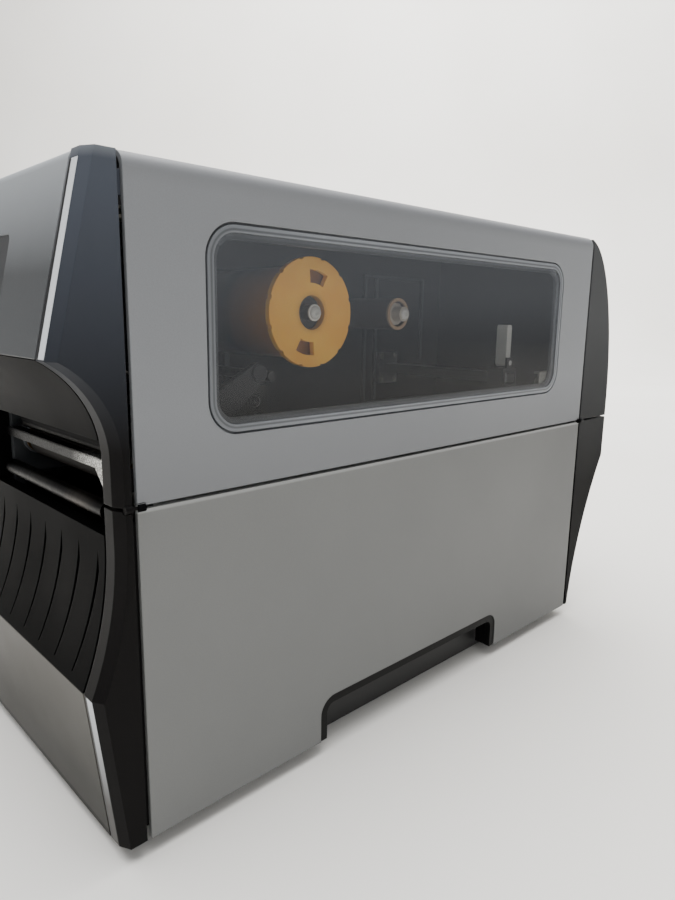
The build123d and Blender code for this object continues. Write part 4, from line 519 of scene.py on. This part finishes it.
def amber_finish(name):
    """Amber moulded disc: warm see-in plastic, darker towards its hub."""
    finish = Finish(name)
    grain = finish.noise(700.0, 3.0, 0.6)
    cloud = finish.noise(60.0, 3.0, 0.5)
    radius = finish.radius(TAKEUP_AXIS)
    tone = finish.mottle(cloud, linear(246, 172, 44), linear(255, 190, 62))
    tone = finish.blend(radius.spread(0.009, 0.0125, 0.5, 0.0), tone, linear(150, 106, 44))
    normal = finish.bump(grain, 0.00004, 0.5, finish.soft_edges(0.0007))
    return finish.surface(
        Base_Color=tone, Roughness=grain.spread(0.3, 0.7, 0.36, 0.46), Normal=normal, Subsurface_Weight=0.1
    )


def card_finish(name):
    """Card tube with ribbon wound on it: dark turns, and the card's pale cut edge at its end."""
    finish = Finish(name)
    fibre = finish.noise(1.0, 4.0, 0.7, finish.stretched((300.0, 1200.0, 1200.0)))
    tone = finish.mottle(fibre, linear(40, 34, 29), linear(54, 46, 40))
    tone = finish.faded(tone, [(0, CORE_END_X - 0.002, CORE_END_X, linear(158, 132, 103))])
    return finish.surface(Base_Color=tone, Roughness=0.8, Normal=finish.bump(fibre, 0.00006, 0.6))


def board_finish(name):
    """Circuit board: green lacquer over fine tracks, dark parts standing on it."""
    finish = Finish(name)
    tracks = finish.node(
        "ShaderNodeTexBrick",
        {"offset": 0.5},
        {"Vector": finish.stretched((1.0, 260.0, 260.0)), "Scale": 1.0, "Mortar Size": 0.04},
        "Fac",
    )
    raised = 1 - finish.axis(0).above(BOARD_FACE_X)
    green = finish.blend(tracks, linear(24, 84, 48), linear(52, 120, 70))
    tone = finish.blend(raised, green, linear(38, 38, 40))
    return finish.surface(Base_Color=tone, Roughness=0.36, Normal=finish.bump(tracks, 0.00003, 0.5))


def tear_finish(name):
    """Tear bar: bead-blasted steel, bright at its end by the door, and darker and less metallic further in as
    painted shade.
    """
    finish = Finish(name)
    beads = finish.cells(1300.0)
    grain = finish.noise(900.0, 3.0, 0.7)
    tone = finish.blend(beads.spread(0.1, 0.6, 0.0, 1.0), linear(246, 246, 242), linear(112, 112, 110))
    # Painted shade: the bar turns dark further in from the door
    tone = finish.faded(tone, [(0, 0.098, 0.07, linear(9, 9, 10))])
    normal = finish.bump(beads + grain, 0.0001, 0.7, finish.soft_edges(0.0003))
    # Painted shade: less metallic further in from the door
    bright = finish.axis(0).spread(0.045, 0.098, 0.15, 1.0)
    return finish.surface(
        Base_Color=tone, Metallic=bright, Roughness=grain.spread(0.3, 0.7, 0.3, 0.5), Normal=normal,
        Specular_IOR_Level=0.1,
    )


def make_finishes(colours):
    """All finishes by the name of their material slot."""
    return {
        "side_paint": sheet_paint(
            "side_paint", colours.side_colour, seam=True,
            fades=[
                # Painted light: the panel turns paler towards the rear, with painted shade on its lower part
                # and along its top edge
                (1, -0.05, 0.19, shade(colours.side_colour, 1.14)),
                (2, 0.215, 0.176, shade(colours.side_colour, 0.82)),
                (2, 0.312, 0.323, shade(colours.side_colour, 0.8)),
            ],
        ),
        "lower_side_paint": sheet_paint(
            "lower_side_paint", colours.lower_side_colour, seam=True,
            fades=[
                # Painted shade: the lower panel turns darker towards the rear
                (1, -0.05, 0.19, shade(colours.lower_side_colour, 0.8)),
                # Painted highlight: a thin pale band on the panel's rounded top edge just below the seam
                (2, FOLD_AXIS[1] - 0.003, FOLD_AXIS[1] - 0.0022, shade(colours.lower_side_colour, 1.75)),
            ],
        ),
        "front_grey": moulded(
            # Painted light: the leaning front panel turns paler towards its top
            "front_grey", colours.front_colour, 0.42, fades=[(2, 0.275, 0.323, linear(146, 150, 154))]
        ),
        "front_low": moulded(
            "front_low", linear(54, 53, 50), 0.5, level=0.15,
            # Painted light: paler towards the top, and a dark band of painted shade along the bottom edge
            fades=[(2, 0.03, 0.085, linear(84, 82, 78)), (2, 0.0124, 0.0116, linear(12, 11, 10))],
        ),
        "hood_black": moulded(
            # Painted sheen: the hood turns paler towards its top
            "hood_black", linear(4, 4, 4), 0.5, level=0.02, fades=[(2, 0.18, 0.24, linear(15, 14, 15))]
        ),
        "trim_dark": moulded(
            "trim_dark", colours.trim_colour, 0.42, level=0.05,
            # Painted sheen towards the top, and a painted highlight along the rounded top edge
            fades=[(2, 0.2, 0.312, linear(68, 72, 80)), (2, 0.3185, 0.3245, linear(112, 116, 121))],
        ),
        "rear_grey": moulded(
            # Painted light: the rear cover turns paler towards its top
            "rear_grey", linear(9, 9, 9), 0.5, level=0.03, fades=[(2, 0.12, 0.26, linear(71, 72, 73))]
        ),
        "strip_grey": strip_finish("strip_grey", linear(200, 204, 208)),
        "bezel_grey": bezel_finish("bezel_grey", linear(106, 109, 113)),
        "grip_black": moulded("grip_black", linear(11, 11, 11), 0.45, level=0.1),
        "pane_clear": clear_pane("pane_clear"),
        "display_glass": display_face("display_glass"),
        "plate_dark": moulded("plate_dark", linear(42, 43, 45), 0.34),
        "button_grey": moulded("button_grey", linear(120, 122, 124), 0.4),
        "key_dark": rubbery("key_dark", linear(66, 67, 69), 0.6),
        "base_black": sheet_paint("base_black", linear(24, 24, 24)),
        "rubber_black": rubbery("rubber_black", linear(22, 22, 22)),
        "frame_paint": cast_paint("frame_paint", linear(44, 46, 48)),
        "zinc_steel": brushed("zinc_steel", linear(168, 168, 162), (60.0, 60.0, 700.0), 0.38),
        "bright_steel": turned("bright_steel", linear(186, 180, 170), 0.2),
        "tear_steel": tear_finish("tear_steel"),
        "dark_steel": turned("dark_steel", linear(66, 66, 66), 0.3),
        "guide_steel": turned(
            "guide_steel", linear(8, 6, 5), 0.42,
            # Painted highlight: one pale band along the dark bar
            fades=[(0, 0.062, 0.078, linear(58, 53, 49)), (0, 0.084, 0.1, linear(11, 9, 8))],
        ),
        "plate_steel": brushed(
            "plate_steel", linear(168, 168, 162), (60.0, 60.0, 700.0), 0.38,
            # Darker above about 0.19 m
            fades=[(2, 0.188, 0.2, linear(56, 57, 56))],
        ),
        "bush_bronze": turned("bush_bronze", linear(92, 72, 46), 0.4),
        "head_alloy": brushed("head_alloy", linear(9, 9, 10), (20.0, 700.0, 700.0), 0.6, 0.0, level=0.06),
        "head_ceramic": moulded("head_ceramic", linear(16, 15, 14), 0.4, level=0.06),
        "lever_plastic": moulded("lever_plastic", linear(34, 34, 36), 0.4),
        "roller_rubber": platen_finish("roller_rubber"),
        "pulley_plastic": moulded("pulley_plastic", linear(216, 214, 206), 0.45),
        "motor_black": sheet_paint("motor_black", linear(36, 36, 38)),
        "belt_rubber": rubbery("belt_rubber", linear(30, 30, 30)),
        "ribbon_drum": drum_finish("ribbon_drum"),
        "amber_plastic": amber_finish("amber_plastic"),
        "spindle_grey": moulded("spindle_grey", linear(168, 160, 148), 0.35),
        "core_card": card_finish("core_card"),
        "hanger_alloy": brushed("hanger_alloy", linear(150, 150, 150), (12.0, 800.0, 800.0), 0.4),
        "guide_light": moulded("guide_light", linear(190, 190, 184), 0.4),
        "board_green": board_finish("board_green"),
        "supply_steel": brushed("supply_steel", linear(170, 172, 170), (50.0, 50.0, 800.0), 0.4),
        "connector_black": moulded("connector_black", linear(26, 26, 27), 0.38),
    }


# ---------------------------------------------------------------- meshes


def grid_faces(rows, columns, closed_rows=False, closed_columns=False):
    """Quads of a grid of points: row i, column j joins its next row and column, and wraps where closed."""
    row_ids = np.arange(rows if closed_rows else rows - 1)
    column_ids = np.arange(columns if closed_columns else columns - 1)
    i, j = np.meshgrid(row_ids, column_ids, indexing="ij")
    next_i = (i + 1) % rows
    next_j = (j + 1) % columns
    corners = ((i, j), (i, next_j), (next_i, next_j), (next_i, j))
    return np.stack([row * columns + column for row, column in corners], axis=-1).reshape(-1, 4)


def joined(shapes):
    """One set of points and quads from several."""
    points, quads, start = [], [], 0
    for shape_points, shape_quads in shapes:
        points.append(shape_points)
        quads.append(shape_quads + start)
        start += len(shape_points)
    return np.concatenate(points), np.concatenate(quads)


def new_piece(name, points, quads, finish, smooth=True):
    """Mesh object at the origin from points and outward quads. Points that meet at a pole become one."""
    mesh = bpy.data.meshes.new(name)
    mesh.vertices.add(len(points))
    mesh.vertices.foreach_set("co", np.asarray(points, dtype=np.float32).ravel())
    mesh.loops.add(quads.size)
    mesh.loops.foreach_set("vertex_index", quads.ravel().astype(np.int32))
    mesh.polygons.add(len(quads))
    mesh.polygons.foreach_set("loop_start", np.arange(0, quads.size, 4, dtype=np.int32))
    mesh.polygons.foreach_set("use_smooth", np.full(len(quads), smooth))
    mesh.update(calc_edges=True)
    shell = bmesh.new()
    shell.from_mesh(mesh)
    bmesh.ops.remove_doubles(shell, verts=shell.verts, dist=POLE_GAP)
    shell.to_mesh(mesh)
    shell.free()
    mesh.validate()
    mesh.materials.append(finish)
    piece = bpy.data.objects.new(name, mesh)
    bpy.context.scene.collection.objects.link(piece)
    return piece


def revolved(profile, centre, way, turns=32):
    """Surface of revolution, which starts and ends on its axis.

    Each point (height h, radius r) of the profile becomes the circle centre + h*way + r*(cos a*u + sin a*v),
    for the angle a from 0 to a full turn, where u and v stand square to the way.
    """
    heights, radii = np.asarray(profile, dtype=float).T
    way = np.asarray(way, dtype=float) / np.linalg.norm(way)
    helper = np.array([0.0, 0.0, 1.0]) if abs(way[2]) < 0.9 else np.array([1.0, 0.0, 0.0])
    first = np.cross(helper, way)
    first /= np.linalg.norm(first)
    second = np.cross(way, first)
    angle = np.linspace(0.0, 2 * np.pi, turns, endpoint=False)
    ring = np.cos(angle)[:, None] * first + np.sin(angle)[:, None] * second
    radii = np.maximum(radii, POLE_RADIUS)
    middles = np.asarray(centre, dtype=float) + heights[:, None, None] * way
    points = middles + radii[:, None, None] * ring[None]
    return points.reshape(-1, 3), grid_faces(len(heights), turns, closed_columns=True)[:, ::-1]


def tube(path, radius, sides=10):
    """Round tube round a closed path: at each of its points, a circle in the plane across the path."""
    path = np.asarray(path, dtype=float)
    along = np.roll(path, -1, axis=0) - np.roll(path, 1, axis=0)
    along /= np.linalg.norm(along, axis=1)[:, None]
    helper = np.array([1.0, 0.0, 0.0]) if np.abs(along[:, 0]).max() < 0.9 else np.array([0.0, 0.0, 1.0])
    first = np.cross(along, helper)
    first /= np.linalg.norm(first, axis=1)[:, None]
    second = np.cross(along, first)
    angle = np.linspace(0.0, 2 * np.pi, sides, endpoint=False)
    circle = np.cos(angle)[None, :, None] * first[:, None] + np.sin(angle)[None, :, None] * second[:, None]
    points = path[:, None] + radius * circle
    return points.reshape(-1, 3), grid_faces(len(path), sides, closed_rows=True, closed_columns=True)


def pan_head(centre, way, head, height):
    """Pan head screw: a crowned head with a round recess, as a revolved profile from its middle outwards."""
    recess = head * 0.34
    profile = [
        (height * 0.35, 0.0),
        (height * 0.35, recess * 0.7),
        (height * 0.95, recess),
        (height, recess * 1.15),
        (height * 0.92, head * 0.62),
        (height * 0.55, head * 0.95),
        (height * 0.1, head),
        (0.0, head),
        (0.0, 0.0),
    ]
    return revolved(profile, centre, way)


# ---------------------------------------------------------------- values that a user would change


class PrinterColours(bpy.types.PropertyGroup):
    """Colours of the covers."""

    side_colour: bpy.props.FloatVectorProperty(
        name="Side panels", description="Paint of the side door and the left cover", subtype="COLOR", size=4,
        default=linear(115, 117, 120), min=0.0, max=1.0,
    )
    lower_side_colour: bpy.props.FloatVectorProperty(
        name="Lower side panel", description="Paint of the lower door panel", subtype="COLOR", size=4,
        default=linear(102, 103, 102), min=0.0, max=1.0,
    )
    front_colour: bpy.props.FloatVectorProperty(
        name="Front panel", description="Colour of the leaning front panel", subtype="COLOR", size=4,
        default=linear(62, 64, 66), min=0.0, max=1.0,
    )
    trim_colour: bpy.props.FloatVectorProperty(
        name="Trims", description="Colour of the dark front trims", subtype="COLOR", size=4,
        default=linear(14, 13, 13), min=0.0, max=1.0,
    )


class PrinterDetails(bpy.types.PropertyGroup):
    """Sizes of the small pieces."""

    screw_head: bpy.props.FloatProperty(
        name="Screw head", description="Radius of the cover screws' heads",
        default=0.0032, min=0.001, max=0.006, subtype="DISTANCE", unit="LENGTH",
    )
    tooth_pitch: bpy.props.FloatProperty(
        name="Tear bar teeth", description="Distance between two teeth of the tear bar",
        default=0.0015, min=0.0008, max=0.004, subtype="DISTANCE", unit="LENGTH",
    )
    wire: bpy.props.FloatProperty(
        name="Latch wire", description="Radius of the latch's wire loop",
        default=0.0009, min=0.0003, max=0.002, subtype="DISTANCE", unit="LENGTH",
    )


# Finishes by name, once they are made
FINISHES = {}

# Screws that aren't zinc plated, and solids whose look differs from the rest of their material
SCREW_FINISH = {
    "side_plate_screws": "dark_steel",
    "takeup_screw": "guide_light",
    "supply_screw": "guide_light",
}
FINISH_OF_NODE = {
    "fold_hinge_pins": "trim_dark",
    "exit_guide_bar": "guide_steel",
    "mechanism_side_plate": "plate_steel",
    "head_lever": "dark_steel",
    "mechanism_braces": "dark_steel",
}


# ---------------------------------------------------------------- operators


class LABELPRINTER_OT_finishes(bpy.types.Operator):
    """Give every solid of the printer its finish"""

    bl_idname = "label_printer.finishes"
    bl_label = "Finishes"

    def execute(self, context):
        FINISHES.update(make_finishes(context.scene.printer_colours))
        for row in frame["record"]["subparts"]:
            solid = NODES[row["node"]]
            solid.data.materials.clear()
            solid.data.materials.append(FINISHES[FINISH_OF_NODE.get(row["node"], row["material_slot"])])
        return {"FINISHED"}


class LABELPRINTER_OT_latch_wire(bpy.types.Operator):
    """Make the wire loop of the latch inside the upper door"""

    bl_idname = "label_printer.latch_wire"
    bl_label = "Latch wire"

    def execute(self, context):
        low, high = (np.array(corner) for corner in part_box("door_catch"))
        wire = context.scene.printer_details.wire
        angle = np.linspace(0.0, 2 * np.pi, 40, endpoint=False)
        across = np.sign(np.cos(angle)) * np.abs(np.cos(angle)) ** LATCH_CORNER * LATCH_HALF_Y
        upward = np.sign(np.sin(angle)) * np.abs(np.sin(angle)) ** LATCH_CORNER * LATCH_HALF_Z
        loop_x = np.full_like(angle, low[0] + LATCH_INSET)
        path = np.stack([loop_x, (low[1] + high[1]) / 2 + across, high[2] - LATCH_DROP + upward], axis=1)
        piece = new_piece("latch_wire", *tube(path, wire), FINISHES["zinc_steel"])
        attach(piece, "upper_door")
        return {"FINISHED"}


class LABELPRINTER_OT_screws(bpy.types.Operator):
    """Make the screw heads on the plates and on the ends of the ribbon spindles"""

    bl_idname = "label_printer.screws"
    bl_label = "Screws"

    def execute(self, context):
        head = context.scene.printer_details.screw_head
        plate_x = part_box("mechanism_side_plate")[1][0]
        foot_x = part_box("media_hanger")[0][0] + HANGER_FOOT
        wall_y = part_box("base_pan")[1][1]
        takeup_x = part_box("takeup_spindle")[1][0]
        supply_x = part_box("supply_spindle")[1][0]
        right, rearward = (1, 0, 0), (0, 1, 0)
        sets = {
            "side_plate_screws": ("chassis", right, head, [(plate_x, y, z) for y, z in PLATE_SCREWS]),
            "hanger_screws": ("chassis", right, head * 0.8, [(foot_x, y, z) for y, z in HANGER_SCREWS]),
            "motor_screws": ("chassis", right, head * 0.8, [(MOTOR_SCREW_X, y, z) for y, z in MOTOR_SCREWS]),
            "rear_plate_screws": ("chassis", rearward, head * 0.9, [(x, wall_y, z) for x, z in REAR_SCREWS]),
            "takeup_screw": ("ribbon_takeup", right, TAKEUP_SCREW, [(takeup_x, *TAKEUP_AXIS)]),
            "supply_screw": ("ribbon_supply", right, SUPPLY_SCREW, [(supply_x, *SUPPLY_AXIS)]),
        }
        for name, (body, way, radius, places) in sets.items():
            shapes = [pan_head(place, way, radius, radius * SCREW_CROWN) for place in places]
            piece = new_piece(name, *joined(shapes), FINISHES[SCREW_FINISH.get(name, "zinc_steel")])
            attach(piece, body)
        return {"FINISHED"}


class LABELPRINTER_OT_tear_teeth(bpy.types.Operator):
    """Make the row of fine teeth along the tear bar"""

    bl_idname = "label_printer.tear_teeth"
    bl_label = "Tear bar teeth"

    def execute(self, context):
        low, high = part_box("tear_bar")
        pitch = context.scene.printer_details.tooth_pitch
        piece = new_piece("tear_teeth", *self.teeth(low, high, pitch), FINISHES["tear_steel"], smooth=False)
        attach(piece, "chassis")
        return {"FINISHED"}

    @staticmethod
    def teeth(low, high, pitch):
        """Sawtooth ridge: height z = top + rise * |2 * frac(x / pitch) - 1|, carried across a thin wall."""
        count = int((high[0] - low[0]) / pitch)
        x = np.linspace(low[0], low[0] + count * pitch, 2 * count + 1)
        ridge = high[2] + TOOTH_RISE * (np.arange(2 * count + 1) % 2)
        foot = np.full_like(x, high[2] - TOOTH_FOOT)
        front = low[1] + TOOTH_SETBACK
        back = front + TOOTH_WALL
        ring = np.stack(
            [
                np.stack([x, np.full_like(x, front), foot], axis=1),
                np.stack([x, np.full_like(x, front), ridge], axis=1),
                np.stack([x, np.full_like(x, back), ridge], axis=1),
                np.stack([x, np.full_like(x, back), foot], axis=1),
            ],
            axis=1,
        )
        quads = grid_faces(len(x), 4, closed_columns=True)
        last = (len(x) - 1) * 4
        ends = np.array([[3, 2, 1, 0], [last, last + 1, last + 2, last + 3]])
        return ring.reshape(-1, 3), np.concatenate([quads[:, ::-1], ends])


class LABELPRINTER_OT_stage(bpy.types.Operator):
    """Make the floor, the backdrop, the lights and the camera"""

    bl_idname = "label_printer.stage"
    bl_label = "Stage"

    def execute(self, context):
        self.make_floor()
        self.make_lights(context)
        self.make_camera(context)
        return {"FINISHED"}

    @staticmethod
    def make_floor():
        """Sweep: a flat floor that curves up into a wall behind, the same profile carried straight across."""
        finish = Finish("floor_paper")
        cloud = finish.noise(1.2, 3.0, 0.5)
        tone = finish.mottle(cloud, linear(226, 223, 217), linear(234, 232, 227))
        material = finish.surface(Base_Color=tone, Roughness=0.85)
        angle = np.linspace(0.0, np.pi / 2, 24)
        curve = FLOOR_BACK + FLOOR_BEND * np.sin(angle)
        out = np.concatenate([[FLOOR_FRONT], curve, [FLOOR_BACK + FLOOR_BEND]])
        rise = np.concatenate([[0.0], FLOOR_BEND * (1 - np.cos(angle)), [WALL_TOP]])
        heading = np.radians(FLOOR_HEADING)
        forward = np.array([-np.sin(heading), np.cos(heading), 0.0])
        sideways = np.array([np.cos(heading), np.sin(heading), 0.0])
        across = np.linspace(-FLOOR_HALF_WIDTH, FLOOR_HALF_WIDTH, 3)
        profile = out[:, None] * forward + rise[:, None] * np.array([0.0, 0.0, 1.0])
        points = profile[:, None] + across[None, :, None] * sideways
        quads = grid_faces(len(out), len(across))
        floor = new_piece("floor", points.reshape(-1, 3), quads[:, ::-1], material)

    @staticmethod
    def make_lights(context):
        """Broad soft lights and an even surround."""
        world = bpy.data.worlds.new("surround")
        context.scene.world = world
        world.use_nodes = True
        background = world.node_tree.nodes["Background"]
        background.inputs["Color"].default_value = (0.95, 0.97, 1.0, 1.0)
        background.inputs["Strength"].default_value = 0.35
        for name, place, aim, size, power in LIGHTS:
            light = bpy.data.lights.new(name, "AREA")
            light.shape = "SQUARE"
            light.size = size
            light.energy = power
            lamp = bpy.data.objects.new(name, light)
            context.scene.collection.objects.link(lamp)
            lamp.location = place
            lamp.rotation_euler = (Vector(aim) - Vector(place)).to_track_quat("-Z", "Y").to_euler()

    @staticmethod
    def make_camera(context):
        """Camera at the photograph's place: heading, pitch and roll in degrees make its three axes."""
        heading, pitch, roll = np.radians(CAMERA_TURN)
        level = np.cos(pitch)
        forward = np.array([-np.sin(heading) * level, np.cos(heading) * level, -np.sin(pitch)])
        right = np.array([np.cos(heading), np.sin(heading), 0.0])
        up = np.cross(right, forward)
        rolled_right = np.cos(roll) * right + np.sin(roll) * up
        rolled_up = -np.sin(roll) * right + np.cos(roll) * up
        turn = np.eye(4)
        turn[:3, 0] = rolled_right
        turn[:3, 1] = rolled_up
        turn[:3, 2] = -forward
        turn[:3, 3] = CAMERA_PLACE
        lens = bpy.data.cameras.new("photo_camera")
        lens.sensor_width = SENSOR
        lens.lens = CAMERA_REACH / PICTURE_HEIGHT * SENSOR
        lens.clip_start = 0.01
        camera = bpy.data.objects.new("photo_camera", lens)
        context.scene.collection.objects.link(camera)
        camera.matrix_world = Matrix(turn.tolist())
        context.scene.camera = camera


class LABELPRINTER_PT_panel(bpy.types.Panel):
    """Sidebar panel that lists the printer's steps"""

    bl_idname = "LABELPRINTER_PT_panel"
    bl_label = "Label Printer"
    bl_space_type = "VIEW_3D"
    bl_region_type = "UI"
    bl_category = "Label Printer"

    def draw(self, context):
        column = self.layout.column()
        for name in PrinterColours.__annotations__:
            column.prop(context.scene.printer_colours, name)
        for name in PrinterDetails.__annotations__:
            column.prop(context.scene.printer_details, name)
        for step in STEPS:
            column.operator(step.bl_idname)


STEPS = (
    LABELPRINTER_OT_finishes,
    LABELPRINTER_OT_latch_wire,
    LABELPRINTER_OT_screws,
    LABELPRINTER_OT_tear_teeth,
    LABELPRINTER_OT_stage,
)
CLASSES = (PrinterColours, PrinterDetails) + STEPS + (LABELPRINTER_PT_panel,)


def register():
    for cls in CLASSES:
        bpy.utils.register_class(cls)
    bpy.types.Scene.printer_colours = bpy.props.PointerProperty(type=PrinterColours)
    bpy.types.Scene.printer_details = bpy.props.PointerProperty(type=PrinterDetails)


def unregister():
    del bpy.types.Scene.printer_details
    del bpy.types.Scene.printer_colours
    for cls in reversed(CLASSES):
        bpy.utils.unregister_class(cls)


def main():
    register()
    for step in STEPS:
        group, action = step.bl_idname.split(".")
        result = getattr(getattr(bpy.ops, group), action)()
        if result != {"FINISHED"}:
            raise RuntimeError(f"{step.bl_label} did not finish")


if __name__ == "__main__":
    main()
